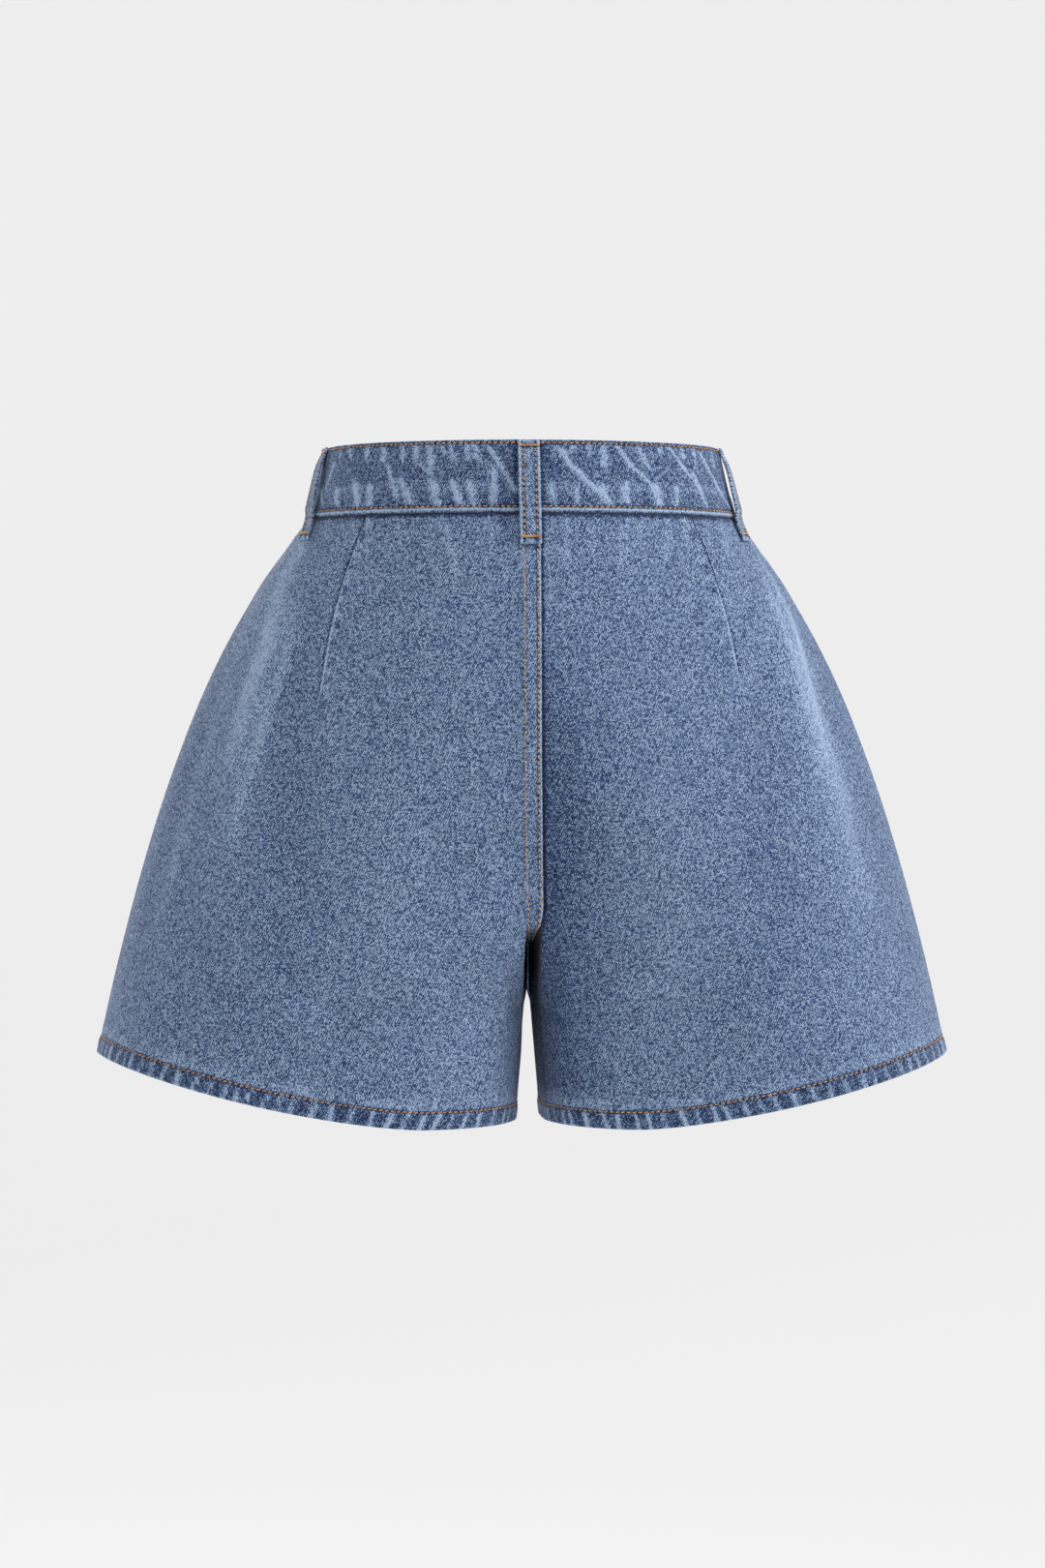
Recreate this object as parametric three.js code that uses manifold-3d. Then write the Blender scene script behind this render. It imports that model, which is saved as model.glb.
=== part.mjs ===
// High-waisted A-line denim shorts, filled out as if worn. Millimetres, +Z up.
// The origin is the middle of the waist at half the waistband's height. The wearer's back faces -Y and
// the wearer's left is at -X. Each half of the garment is an arc of one leg's ellipse at every height:
// the two ellipses are one at the waist, part slowly down the seat and stand clear below the crotch.
import * as THREE from "three";
import { mergeVertices } from "three/addons/utils/BufferGeometryUtils.js";
import Module from "manifold-3d";

const wasm = await Module();
wasm.setup();

// Cloth, seams and the waistband
const CLOTH = 1.3;
const SEAM_GAP = 0.3;
const BAND_HEIGHT = 38;
const BAND_WALL = 2.4;
const BAND_PROUD = 0.8;
const BAND_LAP = 15;
const BAND_STEP = 12;
const BAND_COLUMNS = 26;
const BAND_ROWS = 3;

// Lengths down the body, from the waist seam
const WAIST_SEAM = -BAND_HEIGHT / 2;
const RISE = 271;
const LENGTH = 336.6;
const CROTCH_POWER = 4;
const SEAT_ROUNDING = 60;

// The hem: how far it turns up, and how far it rises above its lowest point
const HEM_TURN = 10;
const HEM_SIDE_RISE = 38;
const HEM_INSEAM_RISE = 2.2;
const HEM_LOW_COSINE = 0.567;
const HEM_CURVE = 1.5;

// Half the gap between the legs, at the crotch and at the hem, and how far the gap hangs off centre
const LEG_GAP_TOP = 1.4;
const LEG_GAP_HEM = 5.9;
const LEG_GAP_ONSET = 40;
const LEG_SWAY = 2.8;
const LEG_SWAY_TOP = -140;
const LEG_SWAY_LOW = -262;
const LEG_SWAY_REACH = 70;

// The legs turn in more squarely than an ellipse from here down
const SQUARE_TOP = -200;
const SQUARE_HEIGHT = 62;
const SQUARE_POWER = 3.6;

// The lapped seams at the centre back and front
const LAP = 4.9;
const LAP_PROUD = 1.6;
const LAP_SUNK = 0.6;
const LAP_END = -262;

// Darts in the back: how far round the ring from the centre seam, at the top and at the point
const DART_LENGTH = 95;
const DART_TOP_SHARE = 0.566;
const DART_POINT_SHARE = 0.512;
const DART_CREASE = 0.55;
const DART_HALF_WIDTH = 3;

// The grid of a panel
const COLUMNS_TO_DART = 5;
const COLUMNS_TO_SIDE = 6;
const ROWS_TO_CROTCH = 16;
const ROWS_TO_HEM = 3;
const ROW_CROWDING = 0.55;
const RING_STEPS = 240;
const SLOPE_STEP = 0.5;

// The fly, behind the left front panel
const FLY_DEPTH = 3.7;
const FLY_LENGTH = 155;
const FLY_BUTTON_RADIUS = 7;
const FLY_BUTTON_THICKNESS = 1.5;
const FLY_BUTTON_REACH = 20;
const FLY_BUTTON_DROPS = [32, 72, 112];

// The waistband's button and its hole
const BUTTON_RADIUS = 8.5;
const BUTTON_THICKNESS = 3;
const SHANK_RADIUS = 2.4;
const EYELET_RADIUS = 3.2;
const SLIT_HEIGHT = 2;
const SLIT_LENGTH = 13;
const ROUND_SIDES = 24;

// Belt loops
const LOOP_WIDTH = 12;
const LOOP_THICKNESS = 1.7;
const SIDE_LOOP_SHARE = 0.915;
const FRONT_LOOP_SHARE = 0.5;

// The body's outline: half the width at the side seam, and half the depth at the back and at the front
const FORM = [
  { z: 19, side: 108.6, back: 86, front: 86 },
  { z: -19, side: 119, back: 90, front: 88 },
  { z: -38, side: 132, back: 94, front: 90.5 },
  { z: -60, side: 147.5, back: 98, front: 93 },
  { z: -92, side: 166, back: 103, front: 95 },
  { z: -135, side: 185, back: 107, front: 96 },
  { z: -189, side: 204, back: 107, front: 96 },
  { z: -254, side: 222, back: 103, front: 95 },
  { z: -317, side: 236.3, back: 98, front: 94 },
  { z: -360, side: 244, back: 95, front: 93 },
];

// Soft folds: a line from share 1 at height z1 through share 2 to share 3, its half width and its height
const FOLDS = [
  { share1: 0.92, z1: -40, share2: 0.7, z2: -110, share3: 0.66, z3: -250, spread: 13, height: 2.2 },
  { share1: 0.97, z1: -60, share2: 0.84, z2: -130, share3: 0.82, z3: -300, spread: 15, height: -1.4 },
  { share1: 0.62, z1: -90, share2: 0.5, z2: -190, share3: 0.47, z3: -320, spread: 17, height: -1.6 },
  { share1: 0.3, z1: -150, share2: 0.28, z2: -250, share3: 0.3, z3: -352, spread: 18, height: 1.2 },
];

// A belt loop's inner face: its height, and how far it stands off the cloth behind it at the centre back
// and elsewhere
const LOOP_PROFILE = [
  { z: 18.4, back: 0.3, side: 0.3 },
  { z: 14, back: 0.35, side: 0.35 },
  { z: 9.5, back: 3, side: 1.5 },
  { z: 4.5, back: 4.7, side: 2.2 },
  { z: -2, back: 4.9, side: 2.5 },
  { z: -9.5, back: 4.7, side: 2.6 },
  { z: -18.5, back: 3.4, side: 2.5 },
  { z: -28.5, back: 0.7, side: 0.7 },
  { z: -36.5, back: 0.6, side: 0.6 },
];

const FABRIC = { color: 0x6679a0, roughness: 0.9, metalness: 0 };
const METAL = { color: 0xa8845c, roughness: 0.4, metalness: 1 };

// A smooth curve through the rows of the outline table, read at height z
function formAt(z, column) {
  let i = 0;
  while (i < FORM.length - 2 && z < FORM[i + 1].z) i += 1;
  const slopeAt = (k) => {
    const upper = FORM[Math.max(0, k - 1)];
    const lower = FORM[Math.min(FORM.length - 1, k + 1)];
    return (lower[column] - upper[column]) / (lower.z - upper.z);
  };
  const span = FORM[i + 1].z - FORM[i].z;
  const t = (z - FORM[i].z) / span;
  const start = FORM[i][column] * (1 + 2 * t) * (1 - t) ** 2 + slopeAt(i) * span * t * (1 - t) ** 2;
  return start + FORM[i + 1][column] * t * t * (3 - 2 * t) - slopeAt(i + 1) * span * t * t * (1 - t);
}

// One half's ring at height z: an arc of the leg's ellipse, as points and the way walked to each.
// Its centre is a share of its half width that grows with depth and levels off at 1 at the crotch.
const ringCache = new Map();

function ringAt(z, face) {
  const key = `${z.toFixed(4)} ${face}`;
  if (ringCache.has(key)) return ringCache.get(key);
  const depth = THREE.MathUtils.clamp((WAIST_SEAM - z) / RISE, 0, 1);
  const parting = depth ** CROTCH_POWER * (CROTCH_POWER + 1 - CROTCH_POWER * depth);
  const below = Math.max(0, WAIST_SEAM - RISE - z) / (LENGTH - RISE);
  const gap = below > 0 ? LEG_GAP_TOP + (LEG_GAP_HEM - LEG_GAP_TOP) * below : LEG_GAP_TOP * depth ** LEG_GAP_ONSET;
  const halfWidth = (formAt(z, "side") - gap) / (1 + parting);
  const centre = gap + halfWidth * parting;
  const rounding = SEAT_ROUNDING * depth * depth * (1 - depth);
  const halfDepth = formAt(z, face < 0 ? "back" : "front");
  const squareness = THREE.MathUtils.smoothstep(SQUARE_TOP - z, 0, SQUARE_HEIGHT);
  const power = 2 + (SQUARE_POWER - 2) * squareness;
  const startAngle = Math.acos(parting);
  const points = [];
  let walked = 0;
  for (let i = 0; i <= RING_STEPS; i += 1) {
    const angle = startAngle + ((Math.PI - startAngle) * i) / RING_STEPS;
    const x = centre - halfWidth * Math.cos(angle);
    const eased = rounding > 0 ? x + rounding * Math.exp(-x / rounding) : x;
    const out = (eased - centre) / halfWidth;
    const bend = out < 0 ? power : 2;
    const y = face * halfDepth * Math.max(0, 1 - Math.abs(out) ** bend) ** (1 / bend);
    if (i > 0) walked += Math.hypot(x - points[i - 1].x, y - points[i - 1].y);
    points.push({ x, y, walked, angle });
  }
  const ring = { points, length: walked };
  ringCache.set(key, ring);
  return ring;
}

// The bare form at a distance from the centre seam, on the left (side -1) or right (side 1)
function formPoint(side, face, distance, z) {
  const ring = ringAt(z, face);
  const way = THREE.MathUtils.clamp(distance, 0, ring.length);
  let low = 0;
  let high = RING_STEPS;
  while (high - low > 1) {
    const middle = (low + high) >> 1;
    if (ring.points[middle].walked <= way) low = middle;
    else high = middle;
  }
  const from = ring.points[low];
  const to = ring.points[high];
  const t = (way - from.walked) / Math.max(1e-9, to.walked - from.walked);
  const x = THREE.MathUtils.lerp(from.x, to.x, t);
  const sway = LEG_SWAY * THREE.MathUtils.smoothstep(-z, -LEG_SWAY_TOP, -LEG_SWAY_LOW);
  const near = Math.exp(-((x / LEG_SWAY_REACH) ** 2));
  return new THREE.Vector3(side * x + sway * near, THREE.MathUtils.lerp(from.y, to.y, t), z);
}

// The outward normal of the bare form, from its slopes along and across the ring
function formNormal(side, face, distance, z) {
  const length = ringAt(z, face).length;
  const share = distance / length;
  const near = Math.max(0, distance - SLOPE_STEP);
  const far = Math.min(length, distance + SLOPE_STEP);
  const along = formPoint(side, face, far, z).sub(formPoint(side, face, near, z));
  const upper = formPoint(side, face, share * ringAt(z + SLOPE_STEP, face).length, z + SLOPE_STEP);
  const lower = formPoint(side, face, share * ringAt(z - SLOPE_STEP, face).length, z - SLOPE_STEP);
  const normal = along.cross(upper.sub(lower)).normalize();
  return normal.multiplyScalar(-side * face);
}

// How far the soft folds lift the cloth: each a round ridge or trough that fades out at both ends
function foldLift(distance, z, length) {
  let lift = 0;
  for (const fold of FOLDS) {
    if (z > fold.z1 || z < fold.z3) continue;
    const upper = z > fold.z2;
    const t = upper ? (fold.z1 - z) / (fold.z1 - fold.z2) : (fold.z2 - z) / (fold.z2 - fold.z3);
    const share = upper
      ? THREE.MathUtils.lerp(fold.share1, fold.share2, t)
      : THREE.MathUtils.lerp(fold.share2, fold.share3, t);
    const across = (distance - share * length) / fold.spread;
    const fade = Math.sin((Math.PI * (fold.z1 - z)) / (fold.z1 - fold.z3)) ** 0.7;
    lift += fold.height * fade * Math.exp(-across * across);
  }
  return lift;
}

// A point of a panel's face, moved out along the normal
function panelPoint(side, face, distance, z, offset) {
  const lift = foldLift(distance, z, ringAt(z, face).length);
  const normal = formNormal(side, face, distance, z);
  return formPoint(side, face, distance, z).addScaledVector(normal, lift + offset);
}

// A closed solid between two sheets of one grid; at(row, column, inner) gives its points
function sheetSolid(rows, columns, at) {
  const positions = [];
  for (const inner of [false, true]) {
    for (let row = 0; row < rows; row += 1) {
      for (let column = 0; column < columns; column += 1) positions.push(...at(row, column, inner).toArray());
    }
  }
  const index = [];
  const sheet = rows * columns;
  const quad = (a, b, c, d) => index.push(a, b, c, a, c, d);
  const spot = (row, column, inner) => (inner ? sheet : 0) + row * columns + column;
  for (let row = 0; row < rows - 1; row += 1) {
    for (let column = 0; column < columns - 1; column += 1) {
      for (const inner of [false, true]) {
        const a = spot(row, column, inner);
        const b = spot(row, column + 1, inner);
        const c = spot(row + 1, column + 1, inner);
        const d = spot(row + 1, column, inner);
        if (inner) quad(a, b, c, d);
        else quad(a, d, c, b);
      }
    }
  }
  for (let row = 0; row < rows - 1; row += 1) {
    const last = columns - 1;
    quad(spot(row, 0, false), spot(row, 0, true), spot(row + 1, 0, true), spot(row + 1, 0, false));
    quad(spot(row, last, true), spot(row, last, false), spot(row + 1, last, false), spot(row + 1, last, true));
  }
  for (let column = 0; column < columns - 1; column += 1) {
    const last = rows - 1;
    quad(spot(0, column, true), spot(0, column, false), spot(0, column + 1, false), spot(0, column + 1, true));
    quad(
      spot(last, column, false), spot(last, column, true),
      spot(last, column + 1, true), spot(last, column + 1, false),
    );
  }
  return outwardGeometry(positions, index);
}

// A geometry whose faces point out: where its volume comes out negative, every face is turned
function outwardGeometry(positions, index) {
  let volume = 0;
  const corner = (k) => new THREE.Vector3().fromArray(positions, index[k] * 3);
  for (let k = 0; k < index.length; k += 3) volume += corner(k).dot(corner(k + 1).cross(corner(k + 2)));
  if (volume < 0) {
    for (let k = 0; k < index.length; k += 3) [index[k + 1], index[k + 2]] = [index[k + 2], index[k + 1]];
  }
  const geometry = new THREE.BufferGeometry();
  geometry.setAttribute("position", new THREE.Float32BufferAttribute(positions, 3));
  geometry.setIndex(index);
  return geometry;
}

function toManifold(geometry) {
  const bare = geometry.clone();
  bare.deleteAttribute("normal");
  bare.deleteAttribute("uv");
  const merged = mergeVertices(bare, 1e-4);
  const vertProperties = new Float32Array(merged.attributes.position.array);
  const triVerts = new Uint32Array(merged.index.array);
  return new wasm.Manifold(new wasm.Mesh({ numProp: 3, vertProperties, triVerts }));
}

function fromManifold(solid) {
  const mesh = solid.getMesh();
  const geometry = new THREE.BufferGeometry();
  geometry.setAttribute("position", new THREE.BufferAttribute(new Float32Array(mesh.vertProperties), 3));
  geometry.setIndex([...mesh.triVerts]);
  return geometry;
}

// The hem's height where the leg's ellipse stands at this angle: lowest behind, highest at the side seam
function hemHeight(angle) {
  const cosine = Math.cos(angle);
  const low = WAIST_SEAM - LENGTH;
  if (cosine > HEM_LOW_COSINE) {
    return low + HEM_INSEAM_RISE * ((cosine - HEM_LOW_COSINE) / (1 - HEM_LOW_COSINE)) ** 2;
  }
  return low + HEM_SIDE_RISE * ((HEM_LOW_COSINE - cosine) / (1 + HEM_LOW_COSINE)) ** HEM_CURVE;
}

// Distances from the centre seam of a panel's columns: the lap, a run to the dart, the dart and the side
function columnDistances(z, face) {
  const { length } = ringAt(z, face);
  const down = THREE.MathUtils.clamp((WAIST_SEAM - z) / DART_LENGTH, 0, 1);
  const dart = length * THREE.MathUtils.lerp(DART_TOP_SHARE, DART_POINT_SHARE, down);
  const distances = [SEAM_GAP / 2, LAP / 2, LAP];
  const first = dart - DART_HALF_WIDTH;
  for (let i = 1; i <= COLUMNS_TO_DART; i += 1) distances.push(LAP + ((first - LAP) * i) / COLUMNS_TO_DART);
  if (face < 0) distances.push(dart);
  const last = dart + DART_HALF_WIDTH;
  const end = length - SEAM_GAP / 2;
  for (let i = 0; i <= COLUMNS_TO_SIDE; i += 1) distances.push(last + ((end - last) * i) / COLUMNS_TO_SIDE);
  return distances;
}

const DART_COLUMN = 3 + COLUMNS_TO_DART;

// The heights of a panel's rows as shares of the way to the hem's turn, crowded at the waist and the crotch
function rowShares() {
  const toTurn = WAIST_SEAM - SEAM_GAP - (hemHeight(0) + HEM_TURN);
  const crotch = (RISE - SEAM_GAP) / toTurn;
  const shares = [];
  for (let i = 0; i <= ROWS_TO_CROTCH; i += 1) {
    const even = i / ROWS_TO_CROTCH;
    const crowded = (1 - Math.cos(Math.PI * even)) / 2;
    shares.push(crotch * THREE.MathUtils.lerp(even, crowded, ROW_CROWDING));
  }
  for (let i = 1; i <= ROWS_TO_HEM; i += 1) shares.push(crotch + ((1 - crotch) * i) / ROWS_TO_HEM);
  return shares;
}

const ROW_SHARES = rowShares();

// Each column's place at the hem settles how far down its rows reach
function panelGrid(face) {
  const hemRing = ringAt(WAIST_SEAM - LENGTH + HEM_TURN, face);
  const top = WAIST_SEAM - SEAM_GAP;
  return columnDistances(WAIST_SEAM - LENGTH + HEM_TURN, face).map((distance, column) => {
    const { angle } = hemRing.points.find((point) => point.walked >= distance - SEAM_GAP);
    const hem = hemHeight(angle);
    const heights = ROW_SHARES.map((share) => top + (hem + HEM_TURN - top) * share);
    heights.push(hem + HEM_TURN - CLOTH / 2, hem);
    return heights.map((z) => ({ z, distance: columnDistances(z, face)[column] }));
  });
}

const GRIDS = { "-1": panelGrid(-1), "1": panelGrid(1) };

// One leg panel: a wall of one cloth, doubled on the inside where the hem is turned up
function panelSolid(side, face) {
  const grid = GRIDS[face];
  const rows = grid[0].length;
  return sheetSolid(rows, grid.length, (row, column, inner) => {
    const { z, distance } = grid[column][row];
    const inDart = face < 0 && column === DART_COLUMN && z > WAIST_SEAM - DART_LENGTH;
    const crease = inDart ? -DART_CREASE : 0;
    const wall = row >= rows - 2 ? 2 * CLOTH : CLOTH;
    return panelPoint(side, face, distance, z, inner ? crease - wall : crease);
  });
}

// The left panel's folded edge, lapped over the right panel at the centre seam
function lapSolid(face) {
  const grid = GRIDS[face];
  const rows = grid[0].filter(({ z }) => z > LAP_END).length;
  const stations = [
    { side: 1, column: 2 }, { side: 1, column: 1 }, { side: 1, column: 0 },
    { side: -1, column: 0 }, { side: -1, column: 1 }, { side: -1, column: 2 },
  ];
  return sheetSolid(rows, stations.length, (row, station, inner) => {
    const { side, column } = stations[station];
    const { z, distance } = grid[column][row];
    const under = side > 0 ? SEAM_GAP : -LAP_SUNK;
    return panelPoint(side, face, distance, z, inner ? under : LAP_PROUD);
  });
}

// A point round the whole waistband: way is measured from the centre back, with a share of the half girth
// and then a reach past the centre front, where the ring runs on into the other half
function bandPoint(side, share, reach, z, offset) {
  const back = ringAt(z, -1).length;
  const front = ringAt(z, 1).length;
  const way = share * (back + front) + reach;
  let on = { side, face: 1, distance: back + front - way };
  if (way <= back) on = { side, face: -1, distance: way };
  else if (way > back + front) on = { side: -side, face: 1, distance: way - back - front };
  const normal = formNormal(on.side, on.face, on.distance, z);
  return formPoint(on.side, on.face, on.distance, z).addScaledVector(normal, offset);
}

// The waistband's stations from its lower end on the right, round the back, to its upper end on the left
function bandStations() {
  const stations = [{ side: 1, share: 1, reach: BAND_LAP, lift: 0 }];
  for (let i = 0; i <= BAND_COLUMNS; i += 1) stations.push({ side: 1, share: 1 - i / BAND_COLUMNS, reach: 0, lift: 0 });
  for (let i = 1; i < BAND_COLUMNS; i += 1) stations.push({ side: -1, share: i / BAND_COLUMNS, reach: 0, lift: 0 });
  stations.push({ side: -1, share: 1, reach: -BAND_LAP - BAND_STEP, lift: 0 });
  for (const reach of [-BAND_LAP - 1, -BAND_LAP / 2, 0, BAND_LAP / 2, BAND_LAP]) {
    stations.push({ side: -1, share: 1, reach, lift: BAND_WALL + SEAM_GAP });
  }
  return stations.filter(({ side, share, reach }) => side > 0 || share < 1 - 1.2 / BAND_COLUMNS || reach !== 0
    || share === 1);
}

const BAND_TOP_FACE = BAND_PROUD + BAND_WALL + SEAM_GAP;

function waistbandGeometry() {
  const stations = bandStations();
  const band = sheetSolid(BAND_ROWS + 1, stations.length, (row, station, inner) => {
    const { side, share, reach, lift } = stations[station];
    const z = BAND_HEIGHT / 2 - (BAND_HEIGHT * row) / BAND_ROWS;
    return bandPoint(side, share, reach, z, BAND_PROUD + lift - (inner ? BAND_WALL : 0));
  });
  return fromManifold(toManifold(band).subtract(buttonholeCutter()));
}

// The buttonhole: a slit with a round eyelet, through the waistband's upper end only
function buttonholeCutter() {
  const reaches = [SLIT_LENGTH, SLIT_LENGTH / 2, 0];
  const slit = sheetSolid(2, reaches.length, (row, station, inner) => {
    const z = row === 0 ? SLIT_HEIGHT / 2 : -SLIT_HEIGHT / 2;
    return bandPoint(-1, 1, -reaches[station], z, inner ? BAND_PROUD + SEAM_GAP / 2 : BAND_TOP_FACE + BAND_WALL);
  });
  const eyelet = new THREE.CylinderGeometry(EYELET_RADIUS, EYELET_RADIUS, BAND_WALL * 2, ROUND_SIDES);
  const face = bandPoint(1, 1, 0, 0, BAND_PROUD + SEAM_GAP / 2);
  eyelet.translate(0, face.y + BAND_WALL, 0);
  return toManifold(slit).add(toManifold(eyelet));
}

// A belt loop: a folded strip tacked flat at both ends, standing off the cloth between them
function loopGeometry(side, face, share) {
  const rows = LOOP_PROFILE.length;
  const atBack = share === 0;
  const overLap = atBack ? LAP_PROUD : 0;
  const stations = LOOP_PROFILE.map((row) => {
    const { z } = row;
    const onBand = z > WAIST_SEAM;
    const distance = share * ringAt(0, face).length;
    const base = formPoint(side, face, distance, z);
    const normal = formNormal(side, face, distance, z);
    const proud = onBand ? BAND_PROUD : overLap;
    const centre = base.addScaledVector(normal, proud + (atBack ? row.back : row.side));
    const across = new THREE.Vector3(-normal.y, normal.x, 0).normalize();
    return { centre, normal, across };
  });
  return sheetSolid(rows, 2, (row, edge, inner) => {
    const { centre, normal, across } = stations[row];
    const point = centre.clone().addScaledVector(across, (edge - 0.5) * LOOP_WIDTH);
    return inner ? point : point.addScaledVector(normal, LOOP_THICKNESS);
  });
}

// The strip behind the fly, sewn inside the right front panel and reaching behind the left one
function underlapGeometry() {
  const grid = GRIDS[1];
  const rows = grid[0].filter(({ z }) => z > WAIST_SEAM - FLY_LENGTH).length;
  const stations = [
    { side: 1, distance: 9, depth: CLOTH + SEAM_GAP },
    { side: 1, distance: LAP / 2, depth: CLOTH + SEAM_GAP },
    { side: -1, distance: LAP, depth: FLY_DEPTH },
    { side: -1, distance: 16, depth: FLY_DEPTH },
    { side: -1, distance: 27, depth: FLY_DEPTH },
    { side: -1, distance: 38, depth: FLY_DEPTH },
  ];
  return sheetSolid(rows, stations.length, (row, station, inner) => {
    const { side, distance, depth } = stations[station];
    return panelPoint(side, 1, distance, grid[0][row].z, -depth - (inner ? CLOTH : 0));
  });
}

function addPiece(group, name, geometry, finish) {
  const mesh = new THREE.Mesh(geometry, new THREE.MeshStandardMaterial(finish));
  mesh.name = name;
  group.add(mesh);
  return mesh;
}

// A round button turned about its own axis, which is then laid along the cloth's normal
function placeButton(group, name, profile, seat, normal) {
  const points = profile.map(([radius, height]) => new THREE.Vector2(radius, height));
  const mesh = addPiece(group, name, new THREE.LatheGeometry(points, ROUND_SIDES), METAL);
  mesh.position.copy(seat);
  mesh.quaternion.setFromUnitVectors(new THREE.Vector3(0, 1, 0), normal);
}

function addButtons(group) {
  const seat = bandPoint(1, 1, 0, 0, BAND_PROUD + SEAM_GAP);
  const neck = BAND_WALL + 2 * SEAM_GAP;
  placeButton(group, "button_waist", [
    [0, 0], [SHANK_RADIUS, 0], [SHANK_RADIUS, neck], [BUTTON_RADIUS - 0.8, neck], [BUTTON_RADIUS, neck + 0.8],
    [BUTTON_RADIUS, neck + BUTTON_THICKNESS - 1], [BUTTON_RADIUS - 1, neck + BUTTON_THICKNESS],
    [0, neck + BUTTON_THICKNESS],
  ], seat, new THREE.Vector3(0, 1, 0));
  FLY_BUTTON_DROPS.forEach((drop, i) => {
    const z = WAIST_SEAM - drop;
    const normal = formNormal(-1, 1, FLY_BUTTON_REACH, z);
    const middle = panelPoint(-1, 1, FLY_BUTTON_REACH, z, -(FLY_DEPTH + CLOTH + FLY_BUTTON_THICKNESS) / 2);
    placeButton(group, `button_fly_${i + 1}`, [
      [0, 0], [FLY_BUTTON_RADIUS, 0], [FLY_BUTTON_RADIUS, FLY_BUTTON_THICKNESS], [0, FLY_BUTTON_THICKNESS],
    ], middle, normal);
  });
}

const shorts = new THREE.Group();
for (const [faceName, face] of [["back", -1], ["front", 1]]) {
  const lapped = toManifold(panelSolid(-1, face)).add(toManifold(lapSolid(face)));
  addPiece(shorts, `${faceName}_left`, fromManifold(lapped), FABRIC);
  addPiece(shorts, `${faceName}_right`, panelSolid(1, face), FABRIC);
}
addPiece(shorts, "waistband", waistbandGeometry(), FABRIC);
addPiece(shorts, "fly_underlap", underlapGeometry(), FABRIC);
addPiece(shorts, "loop_back", loopGeometry(1, -1, 0), FABRIC);
for (const [sideName, side] of [["left", -1], ["right", 1]]) {
  addPiece(shorts, `loop_side_${sideName}`, loopGeometry(side, -1, SIDE_LOOP_SHARE), FABRIC);
  addPiece(shorts, `loop_front_${sideName}`, loopGeometry(side, 1, FRONT_LOOP_SHARE), FABRIC);
}
addButtons(shorts);

export default shorts;
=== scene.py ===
"""High-waisted A-line denim shorts, filled out as if worn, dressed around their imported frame.

Every cloth piece is a sheet worked out from one form: at each height, each half of the garment is an arc of
one leg's ellipse, which is whole at the waist, parts down the seat and stands clear below the crotch.
Sizes are in millimetres up to the moment a mesh is made, where MM turns them into metres.
"""

import math

import bmesh
import bpy
import numpy as np
from bpy.props import FloatProperty, FloatVectorProperty, PointerProperty
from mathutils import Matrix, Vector


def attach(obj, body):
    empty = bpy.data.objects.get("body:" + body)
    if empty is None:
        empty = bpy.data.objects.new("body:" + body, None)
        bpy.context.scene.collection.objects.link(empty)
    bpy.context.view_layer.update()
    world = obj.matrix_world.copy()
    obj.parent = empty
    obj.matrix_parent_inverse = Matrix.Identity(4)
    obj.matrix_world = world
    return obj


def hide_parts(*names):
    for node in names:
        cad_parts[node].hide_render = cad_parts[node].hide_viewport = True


bl_info = {
    "name": "Denim Shorts",
    "version": (1, 0, 0),
    "blender": (4, 5, 0),
    "location": "View3D > Sidebar > Shorts",
    "description": "Sews a pair of high-waisted A-line denim shorts around their packed frame",
    "category": "Add Mesh",
}

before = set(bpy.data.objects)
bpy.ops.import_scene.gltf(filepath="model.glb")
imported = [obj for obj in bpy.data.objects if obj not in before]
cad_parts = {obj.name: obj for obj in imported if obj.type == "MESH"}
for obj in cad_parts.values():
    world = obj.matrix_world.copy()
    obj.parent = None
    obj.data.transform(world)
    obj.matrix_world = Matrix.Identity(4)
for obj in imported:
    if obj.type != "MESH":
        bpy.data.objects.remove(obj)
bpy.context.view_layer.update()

MM = 0.001
BACK = -1
FRONT = 1
LEFT = -1
RIGHT = 1

# Lengths down the body, from the waist seam, and the way the leg's ellipse parts from the middle
BAND_HEIGHT = 38.0
WAIST_SEAM = -BAND_HEIGHT / 2
RISE = 271.0
LENGTH = 336.6
CROTCH_POWER = 4
SEAT_ROUNDING = 60.0
GAP_CROTCH = 2.0
GAP_HEM = 7.6
GAP_ONSET = 40
SEAM_GAP = 0.3
CENTRE_LEAN = 1.0
SWAY = 2.8
SWAY_TOP = -140.0
SWAY_LOW = -262.0
SWAY_REACH = 70.0
SQUARE_TOP = -200.0
SQUARE_HEIGHT = 62.0
SQUARE_POWER = 3.6

# The deep slot where the back seam dives between the legs: its top, its foot, its half width and its depth
SLOT_TOP = -243.0
SLOT_FOOT = -257.0
SLOT_FLOOR = 3.0
SLOT_EDGE = 4.8
SLOT_DEPTH = 0.93

# The body's outline, row by row: half the width at the side seam, half the depth behind and in front
FORM = {
    "z": (19, -19, -38, -60, -92, -135, -189, -254, -317, -360),
    "side": (108.6, 119, 132, 147.5, 166, 185, 204, 222, 236.3, 244),
    "back": (86, 90, 94, 98, 103, 107, 107, 103, 98, 95),
    "front": (86, 88, 90.5, 93, 95, 96, 96, 95, 94, 93),
}

# The hem: its turn, and how far it rises above its lowest point
HEM_TURN = 10.0
HEM_SIDE_RISE = 38.0
HEM_INSEAM_RISE = 2.2
HEM_LOW_COSINE = 0.567
HEM_CURVE = 1.5

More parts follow.
